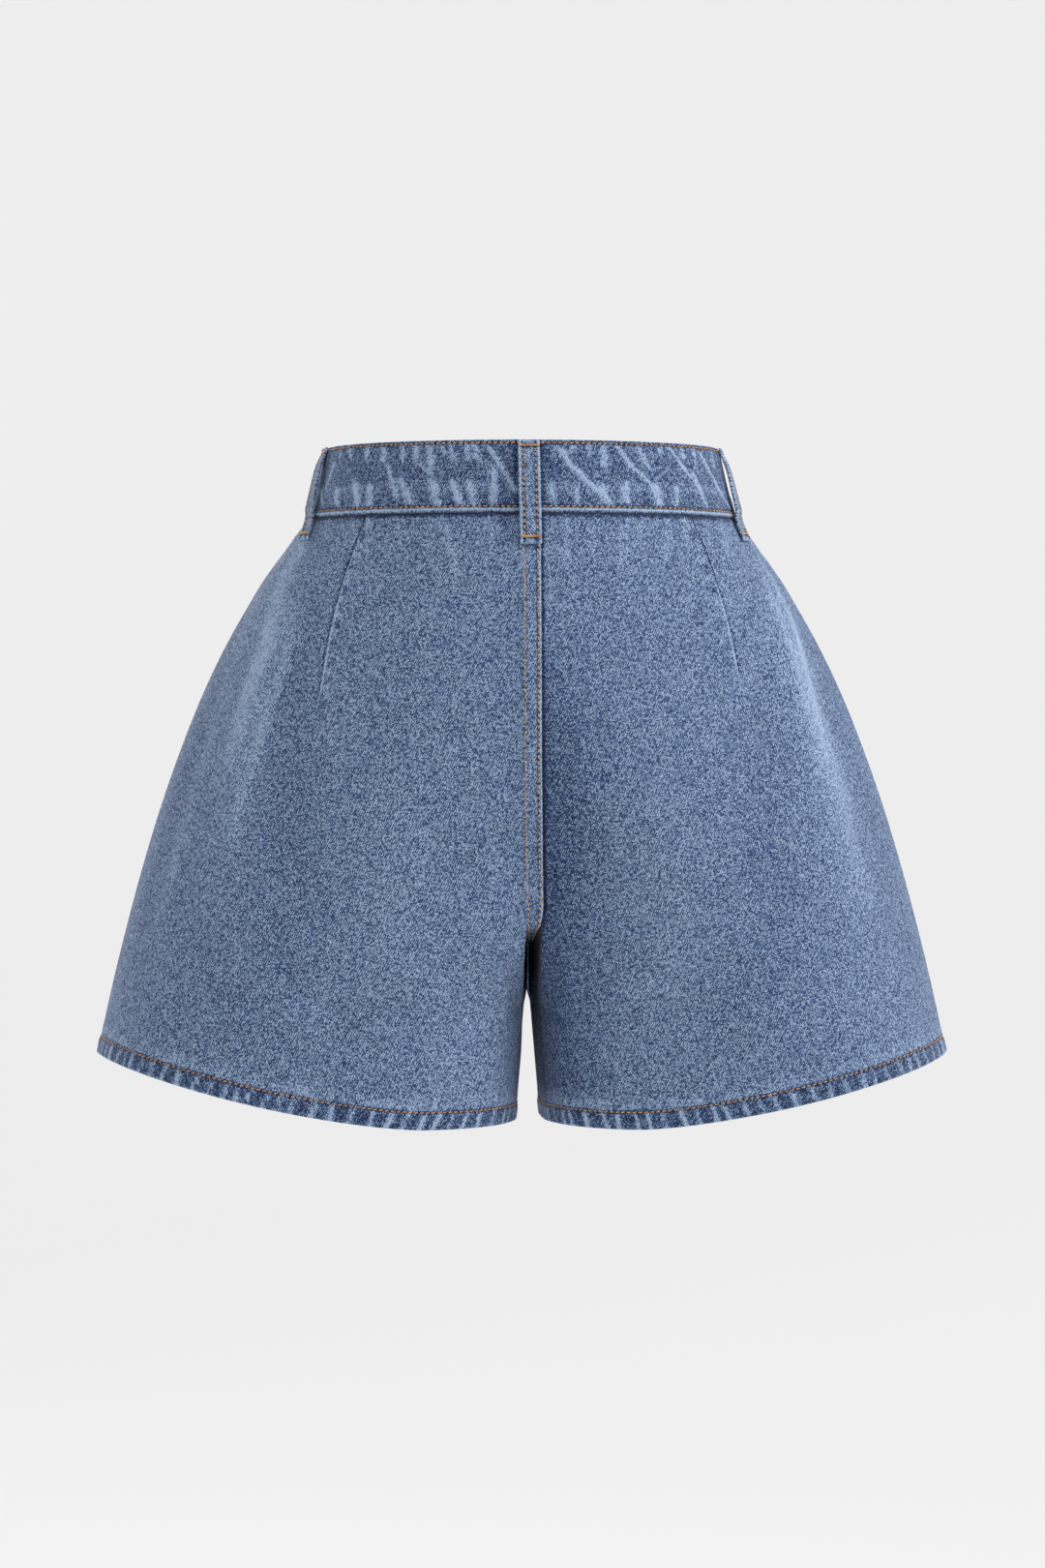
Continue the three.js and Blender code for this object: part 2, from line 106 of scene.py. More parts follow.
# The lapped centre seams, the darts and the fly
LAP = 5.3
LAP_PROUD = 1.6
LAP_END = -256.0
LAP_TAPER_TOP = -232.0
LAP_TAPER = 0.5
TWIN_ROWS = 3.6
DART_LENGTH = 95.0
DART_TOP_SHARE = 0.566
DART_POINT_SHARE = 0.512
RIGHT_DART_OUT = 0.015
LEFT_DART_LONGER = 16.0
FLY_DEPTH = 3.7
FLY_LENGTH = 155.0
FLY_WIDTH = 38.0
FLY_BUTTON_REACH = 20.0
FLY_BUTTON_DROPS = (32.0, 72.0, 112.0)

# The waistband
BAND_TOP = BAND_HEIGHT / 2
BAND_FOOT = -20.4
BAND_WALL = 2.4
BAND_PROUD = 0.8
BAND_LAP = 15.0
BAND_STEP = 12.0
BAND_TOP_ROW = 1.9
BAND_LOW_ROW = 2.9
BUTTONHOLE = 13.0
EYELET = 3.2
SLIT = 1.0

# Belt loops: the inner face's height and its standoff from the cloth behind it
LOOP_WIDTH = 12.0
LOOP_THICKNESS = 1.7
LOOP_ROWS = 3.5
SIDE_LOOP_SHARE = 0.915
SIDE_LOOP_LEAN = 2.0
FRONT_LOOP_SHARE = 0.5
LOOP_PROFILE = {
    "z": (18.4, 14, 9.5, 4.5, -2, -9.5, -20.0, -31.0, -38.6),
    "side_z": (18.4, 14, 9.5, 4.5, -2, -9, -18, -27.5, -34),
    "back": (0.3, 0.35, 3, 4.7, 4.9, 4.7, 3.4, 0.7, 0.6),
    "side": (0.3, 0.35, 1.5, 2.2, 2.5, 2.6, 2.5, 0.7, 0.6),
}

# Soft folds on both sides: a line through three shares of the ring, its half width and its height
FOLDS = (
    {"shares": (0.92, 0.7, 0.66), "z": (-40, -110, -250), "spread": 13, "height": 2.2},
    {"shares": (0.97, 0.84, 0.82), "z": (-60, -130, -300), "spread": 15, "height": -1.4},
    {"shares": (0.62, 0.5, 0.47), "z": (-90, -190, -320), "spread": 17, "height": -1.6},
    {"shares": (0.3, 0.28, 0.3), "z": (-150, -250, -352), "spread": 18, "height": 1.2},
)

# Narrow creases, worn and drawn lighter as painted highlight: side, face, the same line, half width, height
# and how far it is faded and lit
CREASES = (
    {"side": LEFT, "face": BACK, "shares": (0.85, 0.715, 0.7), "z": (-22, -90, -165), "spread": 6.5,
     "height": 0.5, "fade": 0.6},
    {"side": LEFT, "face": BACK, "shares": (0.73, 0.64, 0.64), "z": (-45, -100, -215), "spread": 4.0,
     "height": 0.35, "fade": 0.34},
    {"side": LEFT, "face": BACK, "shares": (0.86, 0.8, 0.79), "z": (-60, -130, -260), "spread": 7.0,
     "height": 0.35, "fade": 0.2},
    {"side": RIGHT, "face": BACK, "shares": (0.88, 0.775, 0.7), "z": (-26, -90, -160), "spread": 3.0,
     "height": 0.4, "fade": 0.55},
    {"side": RIGHT, "face": BACK, "shares": (0.785, 0.735, 0.71), "z": (-45, -120, -240), "spread": 9.0,
     "height": 0.5, "fade": 0.36},
    {"side": RIGHT, "face": BACK, "shares": (0.82, 0.74, 0.685), "z": (-36, -80, -150), "spread": 2.2,
     "height": 0.3, "fade": 0.32},
    {"side": LEFT, "face": FRONT, "shares": (0.5, 0.62, 0.66), "z": (-36, -110, -260), "spread": 4.5,
     "height": 0.5, "fade": 0.2},
    {"side": RIGHT, "face": FRONT, "shares": (0.5, 0.6, 0.67), "z": (-36, -115, -240), "spread": 5.0,
     "height": 0.5, "fade": 0.2},
    {"side": LEFT, "face": FRONT, "shares": (0.86, 0.8, 0.78), "z": (-40, -120, -230), "spread": 4.0,
     "height": 0.35, "fade": 0.16},
    {"side": RIGHT, "face": FRONT, "shares": (0.84, 0.79, 0.8), "z": (-44, -125, -220), "spread": 4.5,
     "height": 0.35, "fade": 0.16},
)

# Long creases placed on the waistband, listed one by one: way from the centre back, lean, ends, half width
# and height
BAND_CREASES = np.array([
    [-134, -1, -14, -6, 1.8, 0.7],
    [-129, 0.33, -4, 10, 1.7, 0.7],
    [-122, -0.15, 12, 18, 1.4, 0.7],
    [-116, -0.4, -15, -6, 2.2, 0.8],
    [-112, -0.43, 11, 18, 1.6, 0.8],
    [-100, -0.45, -16, -3, 2.3, 0.95],
    [-97, 0, 10, 17, 1.7, 0.8],
    [-90, -0.2, -16, -5, 2.2, 0.85],
    [-85, -0.2, 8, 16, 1.9, 0.8],
    [-77, -0.45, -12, 6, 1.7, 0.7],
    [-72, -0.25, 8, 16, 1.8, 0.6],
    [-68, -0.58, -16, -1, 2.2, 0.7],
    [-64, -0.1, 8, 16, 2, 0.75],
    [-57, -1.1, -1, 6, 1.5, 0.6],
    [-55, -0.15, 2, 16, 2, 0.75],
    [-51, -0.32, -17, -3, 2.3, 0.8],
    [-48, -0.3, 10, 16, 1.5, 0.45],
    [-43, -0.2, 8, 16, 1.9, 0.6],
    [-39, -0.42, -17, -4, 2.1, 0.85],
    [-34, -0.2, 8, 16, 1.9, 0.65],
    [-31, -0.2, -17, -4, 2, 0.7],
    [-29, -0.2, 7, 16, 1.9, 0.65],
    [-19, 0, -17, 4, 1.9, 0.75],
    [-14, -0.6, -10, 14, 1.5, 0.8],
    [12, -0.15, -16, -6, 1.9, 0.6],
    [20, -0.67, 4, 14, 2.1, 0.9],
    [24, 0, 12, 16, 1.6, 0.5],
    [25, 0, -16, -8, 1.9, 0.55],
    [34, -0.97, -16, 4, 1.9, 1],
    [34, 0, 10, 16, 1.7, 0.6],
    [40, 0, -16, -6, 2.4, 0.7],
    [42, 0.1, 4, 16, 2, 0.7],
    [53, 0.05, -16, -4, 2.2, 0.75],
    [54, -0.6, 6, 15, 1.6, 0.9],
    [65, -1.15, -8, 6, 1.6, 0.85],
    [66, -0.4, 5, 16, 1.8, 0.7],
    [72, -0.1, -16, -6, 2.6, 0.9],
    [78, -0.1, 12, 16, 1.6, 0.5],
    [85, 0.25, -15, -6, 1.9, 0.65],
    [89, -0.85, 6, 16, 1.5, 0.8],
    [95, -0.1, 10, 18, 1.5, 0.65],
    [99, -1, -6, 6, 1.4, 0.95],
    [104, -0.33, -15, 3, 1.6, 0.8],
    [105, 0.05, 7, 17, 1.4, 0.75],
    [118, -0.73, -5, 14, 1.4, 0.95],
    [126, 0.05, 8, 16, 1.4, 0.7],
    [130, -1, -15, -5, 1.4, 0.9],
])

# How far from the centre back the listed creases reach, and the height of the worn row along the band
BAND_SEEN = 138.0
WORN_ROW = -6.5

# The belt loops: name, side, face and share of the ring at the waistband's middle
LOOPS = (
    ("loop_back", RIGHT, BACK, 0.0),
    ("loop_side_left", LEFT, BACK, SIDE_LOOP_SHARE),
    ("loop_side_right", RIGHT, BACK, SIDE_LOOP_SHARE),
    ("loop_front_left", LEFT, FRONT, FRONT_LOOP_SHARE),
    ("loop_front_right", RIGHT, FRONT, FRONT_LOOP_SHARE),
)

# How much lighter the cloth is drawn along its lines, above 0, or darker, below 0: worn crests and edges,
# together with the painted shade, painted shadow and painted highlight named in its keys
WEAR_AND_PAINTED_LIGHT = {
    "fold_crests_and_shade": 0.06, "lap_ramp_highlight": 0.14, "lap_shadow": -0.75, "inner_leg_shade": -0.42, "side_seam": 0.3,
    "dart_edge": 0.8, "dart_edge_top_shade": -0.6, "dart_line": -0.35, "dart_line_top_shadow": -0.9, "dart_dimple_shade": -0.4,
    "gathers": 0.75, "under_waist_shade": -0.16, "waist_shadow_line": -1.3,
    "shadow_beside_loop": -0.6, "shadow_below_loop": -0.8, "slot": -1.6,
    "hem_crests": 1.5, "hem": -0.42, "halo": 0.6, "hem_edge": 0.12, "hem_edge_crests": 0.4, "above_hem": 0.05,
    "hem_row": -0.55, "strip": 0.04, "strip_edge": 0.62, "strip_row": -0.8, "strip_end_shadow": -0.9,
    "band": -0.2, "band_crests": 1.2, "band_row": -0.85, "band_roll": 1.15, "band_middle": 0.2,
    "band_top": 0.3,
    "loop": 0.08, "loop_edge": 0.75, "loop_row": -0.85, "loop_end": 0.5, "loop_tack": -0.5,
}

# How far the cloth is raised, or sunk below 0, along its lines
LIFT = {
    "side_allowance": 0.45, "side_line": -0.5, "dart_edge": 0.75, "dart_line": -0.45, "halo": 0.5,
    "hem": 0.35,
    "hem_row": -0.5, "strip_row": -0.28, "strip_edge": 0.12, "band_row": -0.4, "band_roll": 0.35,
    "loop_edge": 0.3, "loop_row": -0.3, "loop_tack": -0.45,
}

# Sewing: a stitch's half length as a part of its pitch, its twist and how proud of the cloth it lies
STITCH_HALF = 0.32
STITCH_TWIST = 0.1
STITCH_LIFT = 0.12

# A bar tack's stitches: their pitch, half length and radius, and the loop's rows that the two tacks lie on
TACK_PITCH = 0.62
TACK_HALF = 0.72
TACK_RADIUS = 0.34
TACK_ROWS = (3, -5)

# One float of yarn on a rib, in metres, and the slant of the ribs
YARN_FLOAT = 0.00072
RIB_SLANT = math.radians(-57)

# The fineness of the form's own table, and of the sheets made from it
LEVEL_TOP = 26.0
LEVEL_STEP = 0.5
LEVEL_COUNT = 786
RING_STEPS = 480
SHARE_STEPS = 480
SLOPE_STEP = 0.6
PANEL_COLUMNS = 232
PANEL_ROWS = 106
HEM_ROWS = 14
BAND_COLUMNS = 500
BAND_ROWS = 38

# A panel's columns, as a part of them all, and what they reach: the lap, the dart's two edges and the side
COLUMN_PARTS = (0.0, 0.1, 0.49, 0.57, 0.94, 1.0)
LAP_ZONE = 10.0
SIDE_ZONE = 9.0
DART_ZONE = 0.016

# How far the cloth's grain is turned on its pieces
TWILL_TURN = math.radians(-7.5)

# The camera: its distance, its height, the width of the view at the shorts and its small turn to the left
CAMERA_DISTANCE = 3000.0
CAMERA_HEIGHT = -168.0
VIEW_HEIGHT = 875.7
CAMERA_TURN = math.radians(2.2)
SENSOR = 36.0

# The cove's own glow, which stands for its own lights: it is dimmer on the side that faces the wearer's back
COVE_GLOW = 0.76
COVE_DIM = 0.3
COVE_BRIGHT = 1.15
COVE_DIM_HIGH = 2400.0
COVE_DIM_START = -700.0
COVE_DIM_END = -2600.0

# The soft lights: where each stands, its width and its power
LIGHTS = {
    "key": {"place": (2500, -1300, 2500), "size": 1200, "power": 75},
    "front": {"place": (-900, 3000, 1400), "size": 2000, "power": 60},
}


class ShortsCloth(bpy.types.PropertyGroup):
    """Sizes of the cloth and its sewing that a user would change, in millimetres"""

    cloth: FloatProperty(name="Cloth", description="Thickness of one layer of denim", default=1.3, min=0.8,
                         max=2)
    pucker: FloatProperty(name="Pucker", description="Height of the hem's and waistband's puckers",
                          default=0.6)
    stitch: FloatProperty(name="Stitch", description="Length of one stitch and its gap", default=3.2,
                          min=1.5)
    thread: FloatProperty(name="Thread", description="Thickness of the sewing thread", default=0.8, min=0.2)


class ShortsColours(bpy.types.PropertyGroup):
    """Colours of the denim, thread and metal"""

    indigo: FloatVectorProperty(name="Indigo", description="Unworn yarn", subtype="COLOR", size=3,
                                default=(0.017, 0.040, 0.128), min=0, max=1)
    faded: FloatVectorProperty(name="Faded", description="Evenly washed yarn", subtype="COLOR", size=3,
                               default=(0.100, 0.176, 0.350), min=0, max=1)
    worn: FloatVectorProperty(name="Worn", description="Yarn worn to its core", subtype="COLOR", size=3,
                              default=(0.41, 0.54, 0.74), min=0, max=1)
    thread: FloatVectorProperty(name="Thread", description="Tan sewing thread", subtype="COLOR", size=3,
                                default=(0.60, 0.32, 0.14), min=0, max=1)
    metal: FloatVectorProperty(name="Metal", description="Antique copper-toned buttons", subtype="COLOR",
                               size=3, default=(0.42, 0.26, 0.15), min=0, max=1)
    backdrop: FloatVectorProperty(name="Backdrop", description="Pale floor and cove", subtype="COLOR", size=3,
                                  default=(0.855, 0.855, 0.855), min=0, max=1)


def cloth_sizes():
    return bpy.context.scene.shorts_cloth


def colours():
    return bpy.context.scene.shorts_colours


def smooth_step(low, high, value):
    """0 below low, 1 above high and an even S-curve between"""
    t = np.clip((value - low) / (high - low), 0, 1)
    return t * t * (3 - 2 * t)


def bell(distance, width):
    """1 on a line, falling to nothing beside it: e to the power of minus the square of distance over width"""
    return np.exp(-(distance / width) ** 2)


def form_at(z, column):
    """A cubic curve through the form's rows, its slope at each row the slope between that row's neighbours"""
    heights = np.array(FORM["z"], float)
    values = np.array(FORM[column], float)
    above = np.maximum(np.arange(len(heights)) - 1, 0)
    below = np.minimum(np.arange(len(heights)) + 1, len(heights) - 1)
    slopes = (values[below] - values[above]) / (heights[below] - heights[above])
    i = np.clip(np.searchsorted(-heights, -z, side="left") - 1, 0, len(heights) - 2)
    span = heights[i + 1] - heights[i]
    t = (z - heights[i]) / span
    start = values[i] * (1 + 2 * t) * (1 - t) ** 2 + slopes[i] * span * t * (1 - t) ** 2
    return start + values[i + 1] * t * t * (3 - 2 * t) - slopes[i + 1] * span * t * t * (1 - t)


def lap_taper(z):
    """How much of its width the lapped seam keeps: it narrows where it dives between the legs"""
    return 1 - LAP_TAPER * smooth_step(-LAP_TAPER_TOP, -LAP_END, -z)


def dart_share(side, z):
    """The dart's share of the ring, which moves in from its top to its point and stays there"""
    down = np.clip((WAIST_SEAM - z) / DART_LENGTH, 0, 1)
    return DART_TOP_SHARE + (DART_POINT_SHARE - DART_TOP_SHARE) * down + RIGHT_DART_OUT * (side == RIGHT)


def ring_table(face):
    """Rings at every level, read at even shares of their length.

    The ellipse's centre is a share of its half width that grows down the rise and levels off at 1 at the
    crotch, so it starts on the centre line and ends with its edge there. The valley between the halves is
    rounded by easing x away from zero, and each ring's walked length is inverted to even shares.
    """
    z = (LEVEL_TOP - LEVEL_STEP * np.arange(LEVEL_COUNT))[:, None]
    depth = np.clip((WAIST_SEAM - z) / RISE, 0, 1)
    parting = depth ** CROTCH_POWER * (CROTCH_POWER + 1 - CROTCH_POWER * depth)
    below = np.maximum(0, WAIST_SEAM - RISE - z) / (LENGTH - RISE)
    gap = np.where(below > 0, GAP_CROTCH + (GAP_HEM - GAP_CROTCH) * below, GAP_CROTCH * depth ** GAP_ONSET)
    half_width = (form_at(z, "side") - gap) / (1 + parting)
    centre = gap + half_width * parting
    rounding = np.maximum(SEAT_ROUNDING * depth * depth * (1 - depth), 1e-3)
    half_depth = form_at(z, "back" if face == BACK else "front")
    start = np.arccos(parting)
    angle = start + (math.pi - start) * np.linspace(0, 1, RING_STEPS + 1)[None]
    x = centre - half_width * np.cos(angle)
    eased = x + rounding * np.exp(-x / rounding)
    out = (eased - centre) / half_width
    power = np.where(out < 0, 2 + (SQUARE_POWER - 2) * smooth_step(0, SQUARE_HEIGHT, SQUARE_TOP - z), 2)
    y = face * half_depth * np.maximum(0, 1 - np.abs(out) ** power) ** (1 / power)
    steps = [np.diff(way, axis=1, prepend=way[:, :1]) for way in (x, y)]
    walked = np.cumsum(np.hypot(*steps), axis=1)
    length = walked[:, -1]
    rows = 2.0 * np.arange(LEVEL_COUNT)[:, None]
    known = (walked / length[:, None] + rows).ravel()
    wanted = (np.linspace(0, 1, SHARE_STEPS + 1)[None] + rows).ravel()
    shape = (LEVEL_COUNT, SHARE_STEPS + 1)
    even_x = np.interp(wanted, known, x.ravel()).reshape(shape)
    even_angle = np.interp(wanted, known, angle.ravel()).reshape(shape)
    middle = np.argmin(np.abs(even_angle - math.pi / 2), axis=1) / SHARE_STEPS * length
    turn_share = walked / length[:, None]
    even_turn = np.linspace(0, 1, RING_STEPS + 1)[None] + 0 * z

    def turn_at(share):
        return np.interp(share + rows[:, 0], known, even_turn.ravel())

    lap_angle = np.arccos(np.clip((centre - gap - LAP_ZONE) / half_width, -1, 1))[:, 0]
    point_row = int((LEVEL_TOP - WAIST_SEAM + DART_LENGTH) / LEVEL_STEP)
    edges = {}
    for side in (LEFT, RIGHT):
        for name, edge in (("dart_turn", -DART_ZONE), ("dart_end_turn", DART_ZONE)):
            turns = turn_at(dart_share(side, z[:, 0]) + edge)
            turns[point_row:] = turns[point_row]
            edges[name, side] = turns
    return {
        "x": even_x,
        "y": np.interp(wanted, known, y.ravel()).reshape(shape),
        "length": length,
        "flat_start": centre[:, 0] - middle,
        "hem_angle": even_angle[-1],
        "turn_share": turn_share,
        "lap_turn": (lap_angle - start[:, 0]) / (math.pi - start[:, 0]),
        "side_turn": turn_at(1 - SIDE_ZONE / length),
        **edges,
    }


RINGS = {BACK: ring_table(BACK), FRONT: ring_table(FRONT)}


def read_level(face, column, z):
    """One of the table's single columns at height z, straight between two levels"""
    row = np.clip((LEVEL_TOP - z) / LEVEL_STEP, 0, LEVEL_COUNT - 1.001)
    upper = row.astype(int)
    values = RINGS[face][column]
    return values[upper] * (1 - row + upper) + values[upper + 1] * (row - upper)


def read_grid(grid, z, part):
    """A table of levels by even steps, read at a height and a part of the steps, between four neighbours"""
    row = np.clip((LEVEL_TOP - z) / LEVEL_STEP, 0, LEVEL_COUNT - 1.001)
    upper = row.astype(int)
    down = row - upper
    steps = grid.shape[1] - 1
    spot = np.clip(part, 0, 1) * steps
    left = np.minimum(spot.astype(int), steps - 1)
    across = spot - left
    top = grid[upper, left] * (1 - across) + grid[upper, left + 1] * across
    low = grid[upper + 1, left] * (1 - across) + grid[upper + 1, left + 1] * across
    return top * (1 - down) + low * down


def in_slot(away, z):
    """1 inside the deep slot between the legs, by the distance from the centre line and the height; the back
    is sunk there and drawn with painted shadow
    """
    return smooth_step(-SLOT_TOP, -SLOT_FOOT, -z) * (1 - smooth_step(SLOT_FLOOR, SLOT_EDGE, away))


def form_point(side, face, share, z):
    """The bare form at a share of the ring and a height"""
    x = read_grid(RINGS[face]["x"], z, share)
    y = read_grid(RINGS[face]["y"], z, share)
    if face == BACK:
        y = y * (1 - SLOT_DEPTH * in_slot(x, z))
    lean = CENTRE_LEAN * smooth_step(-10, 45, -z)
    sway = lean + (SWAY - CENTRE_LEAN) * smooth_step(-SWAY_TOP, -SWAY_LOW, -z)
    return np.stack([side * x + sway * bell(x, SWAY_REACH), y, z + 0 * share], axis=-1)


def form_normal(side, face, share, z):
    """The outward normal, from the slope along the ring crossed with the slope down the garment"""
    reach = SLOPE_STEP * 2 / read_level(face, "length", z)
    ahead, behind = np.minimum(share + reach, 1), np.maximum(share - reach, 0)
    along = form_point(side, face, ahead, z) - form_point(side, face, behind, z)
    up = form_point(side, face, share, z + SLOPE_STEP) - form_point(side, face, share, z - SLOPE_STEP)
    normal = np.cross(along, up)
    normal /= np.maximum(np.linalg.norm(normal, axis=-1, keepdims=True), 1e-9)
    return normal * np.asarray(-side * face)[..., None]


def hem_height(face, share):
    """The hem's height at a share of its ring: lowest behind the thigh, highest at the side seam"""
    angle = np.interp(share, np.linspace(0, 1, SHARE_STEPS + 1), RINGS[face]["hem_angle"])
    cosine = np.cos(angle)
    low = WAIST_SEAM - LENGTH
    inner = HEM_INSEAM_RISE * np.clip((cosine - HEM_LOW_COSINE) / (1 - HEM_LOW_COSINE), 0, 1) ** 2
    outer = HEM_SIDE_RISE * np.clip((HEM_LOW_COSINE - cosine) / (1 + HEM_LOW_COSINE), 0, 1) ** HEM_CURVE
    return low + inner + outer


def line_share(line, z):
    """The share that a fold's three-point line has at height z"""
    heights = np.array(line["z"][::-1], float)
    return np.interp(z, heights, np.array(line["shares"][::-1], float))


def line_profile(line, share, z, length):
    """A round ridge along a line, which fades out at both its ends"""
    top, low = line["z"][0], line["z"][2]
    along = np.clip((top - z) / (top - low), 0, 1)
    fade = np.sin(math.pi * along) ** 0.7
    across = (share - line_share(line, z)) * length / line["spread"]
    return fade * np.exp(-across * across)


def fold_lift(share, z, length):
    return sum(fold["height"] * line_profile(fold, share, z, length) for fold in FOLDS)


def random_ridges(seed, start, end, pitch, lean, low, high, width, height):
    """Rows of place, lean, lower end, upper end, half width and height for a run of uneven puckers"""
    rng = np.random.default_rng(seed)
    places = [start]
    while places[-1] < end:
        places.append(places[-1] + rng.uniform(*pitch))
    count = len(places)
    return np.column_stack([
        places, rng.uniform(*lean, count), rng.uniform(*low, count), rng.uniform(*high, count),
        rng.uniform(*width, count), rng.uniform(*height, count),
    ])


def ridge_field(along, up, ridges):
    """The sum of ridges: each a soft crest across its leaning line, faded at its lower and upper ends"""
    total = np.zeros(np.broadcast(along, up).shape)
    for place, lean, low, high, width, height in ridges:
        middle = (low + high) / 2
        across = (along - place - lean * (up - middle)) / width
        ends = smooth_step(low - 2.5, low + 1.5, up) * (1 - smooth_step(high - 1.5, high + 2.5, up))
        total += height * ends * np.exp(-across * across)
    return total


def hem_ridges(side, face, length):
    """The roping that a turned hem takes in the wash: short slanted crests from the edge to the stitches"""
    return random_ridges(11 + 3 * side + face, 2, length, (6.5, 11.5), (-0.45, -0.1), (-3, 0.5), (7.5, 9.5),
                         (0.9, 1.7), (0.45, 1.0))


def halo_ridges(side, face, length):
    """Finer crests just above the hem's stitches"""
    return random_ridges(71 + 3 * side + face, 1, length, (4.5, 9), (-0.6, 0.2), (10.5, 11), (12.5, 17),
                         (1.0, 1.9), (0.2, 0.8))


def gather_ridges(side, face, length):
    """Short soft crests that hang from the waist seam"""
    return random_ridges(31 + 3 * side + face, 6, length - 6, (9, 19), (-0.1, 0.25), (-34, -12), (-1, 0.5),
                         (2.0, 3.6), (0.12, 0.4))


def shadow_below_loop(z):
    """The painted shadow line on the cloth just below the back loop's end"""
    return bell(z - LOOP_PROFILE["z"][-1] + 0.9, 0.8)


def way_from_edge(face, share, z):
    """How far across the garment a point lies from the centre seam or the leg's inner edge"""
    return read_grid(RINGS[face]["x"], z, share) - read_grid(RINGS[face]["x"], z, 0 * share)


def panel_relief(side, face, share, z):
    """The outer face's lift off the bare form, the slow part of it, and how worn the cloth is there, with its
    painted shade and highlight
    """
    pucker = cloth_sizes().pucker
    length = read_level(face, "length", z)
    way = share * length
    slow = fold_lift(share, z, length)
    fine = np.zeros(share.shape)
    # fold crests drawn lighter as worn cloth, and painted shade in the fold hollows
    wear_and_painted_light = WEAR_AND_PAINTED_LIGHT["fold_crests_and_shade"] * np.clip(slow, -1.5, 2)
    for crease in CREASES:
        if (crease["side"], crease["face"]) == (side, face):
            profile = line_profile(crease, share, z, length)
            fine += crease["height"] * profile
            # each crease is drawn lighter, as worn cloth and painted highlight together
            wear_and_painted_light += crease["fade"] * profile

    # the centre seam, where the left panel is folded over the right one
    seam = smooth_step(LAP_END - 6, LAP_END + 10, z)
    lap = LAP * lap_taper(z)
    if side == LEFT:
        ramp = 1 - smooth_step(lap - 0.6, lap + 3.4, way)
        slow = slow + seam * (LAP_PROUD - 0.08) * ramp
        # painted highlight where the left panel bulges up onto the lap
        wear_and_painted_light += seam * WEAR_AND_PAINTED_LIGHT["lap_ramp_highlight"] * bell(way - lap - 1.2, 1.6)
    else:
        # painted shadow that the lap's folded edge casts on the right panel
        wear_and_painted_light += seam * WEAR_AND_PAINTED_LIGHT["lap_shadow"] * bell(way - lap - 0.8, 1.0)
        shaded = smooth_step(60, 170, -z) * (1 - smooth_step(330, 350, -z))
        if face == BACK:
            # painted shade on the right back panel's inner leg beside the centre seam, where it turns away
            # from the light
            wear_and_painted_light += WEAR_AND_PAINTED_LIGHT["inner_leg_shade"] * shaded * bell(way_from_edge(face, share, z), 30)

    # the side seam and the inseam, pressed open to the back
    to_side = length - way
    fine += LIFT["side_allowance"] * bell(to_side - 7, 4) * (face == BACK)
    fine += LIFT["side_line"] * bell(to_side, 0.9)
    wear_and_painted_light += WEAR_AND_PAINTED_LIGHT["side_seam"] * bell(to_side - 2.2, 1.3)

    # the dart: its allowance lies under the centre side and lifts it to an edge, drawn lighter as worn cloth
    # and painted highlight, with a painted shadow line beside it, painted shade on the edge's upper part and
    # painted shade in small dimples
    if face == BACK:
        off = way - length * dart_share(side, z)
        reach = DART_LENGTH + LEFT_DART_LONGER * (side == LEFT)
        hold = 1 - smooth_step(0.86, 1.0, (WAIST_SEAM - z) / reach)
        fine += hold * LIFT["dart_edge"] * np.where(off < 0, np.exp(off / 9), bell(off, 0.45))
        fine += hold * LIFT["dart_line"] * bell(off - 0.9, 0.7)
        upper = 1 - smooth_step(0.25, 0.6, (WAIST_SEAM - z) / DART_LENGTH)
        wear_and_painted_light += hold * (WEAR_AND_PAINTED_LIGHT["dart_edge"] + WEAR_AND_PAINTED_LIGHT["dart_edge_top_shade"] * upper) * bell(off + 0.5, 0.75)
        wear_and_painted_light += hold * (WEAR_AND_PAINTED_LIGHT["dart_line"] + WEAR_AND_PAINTED_LIGHT["dart_line_top_shadow"] * upper) * bell(off - 0.6, 0.75)
        dimples = np.sin((WAIST_SEAM - z) * 0.62 + np.sin(z * 0.21)) ** 3
        wear_and_painted_light += hold * WEAR_AND_PAINTED_LIGHT["dart_dimple_shade"] * dimples * bell(off + 3.2, 2.2)

    # short gathers under the waist seam, painted shade below the waistband and a painted shadow line right
    # under its edge
    drop = BAND_FOOT - z
    near_top = drop < 60
    gathers = np.zeros(share.shape)
    gathers[near_top] = ridge_field(way[near_top], -drop[near_top], gather_ridges(side, face, length.max()))
    fine += gathers
    wear_and_painted_light += WEAR_AND_PAINTED_LIGHT["gathers"] * gathers + WEAR_AND_PAINTED_LIGHT["under_waist_shade"] * np.exp(-drop / 8)
    wear_and_painted_light += WEAR_AND_PAINTED_LIGHT["waist_shadow_line"] * bell(drop, 0.75)
    if face == BACK:
        # painted shadow that the back loop casts on the cloth beside it and below its end
        shadow_beside_loop = bell(way - LOOP_WIDTH / 2 - 0.9, 0.9)
        wear_and_painted_light += WEAR_AND_PAINTED_LIGHT["shadow_beside_loop"] * shadow_beside_loop * (1 - smooth_step(18, 20, drop))
        under_loop = 1 - smooth_step(LOOP_WIDTH / 2, LOOP_WIDTH / 2 + 2, way)
        wear_and_painted_light += WEAR_AND_PAINTED_LIGHT["shadow_below_loop"] * shadow_below_loop(z) * under_loop
        # painted shadow deep in the slot between the legs
        wear_and_painted_light += WEAR_AND_PAINTED_LIGHT["slot"] * in_slot(way, z)

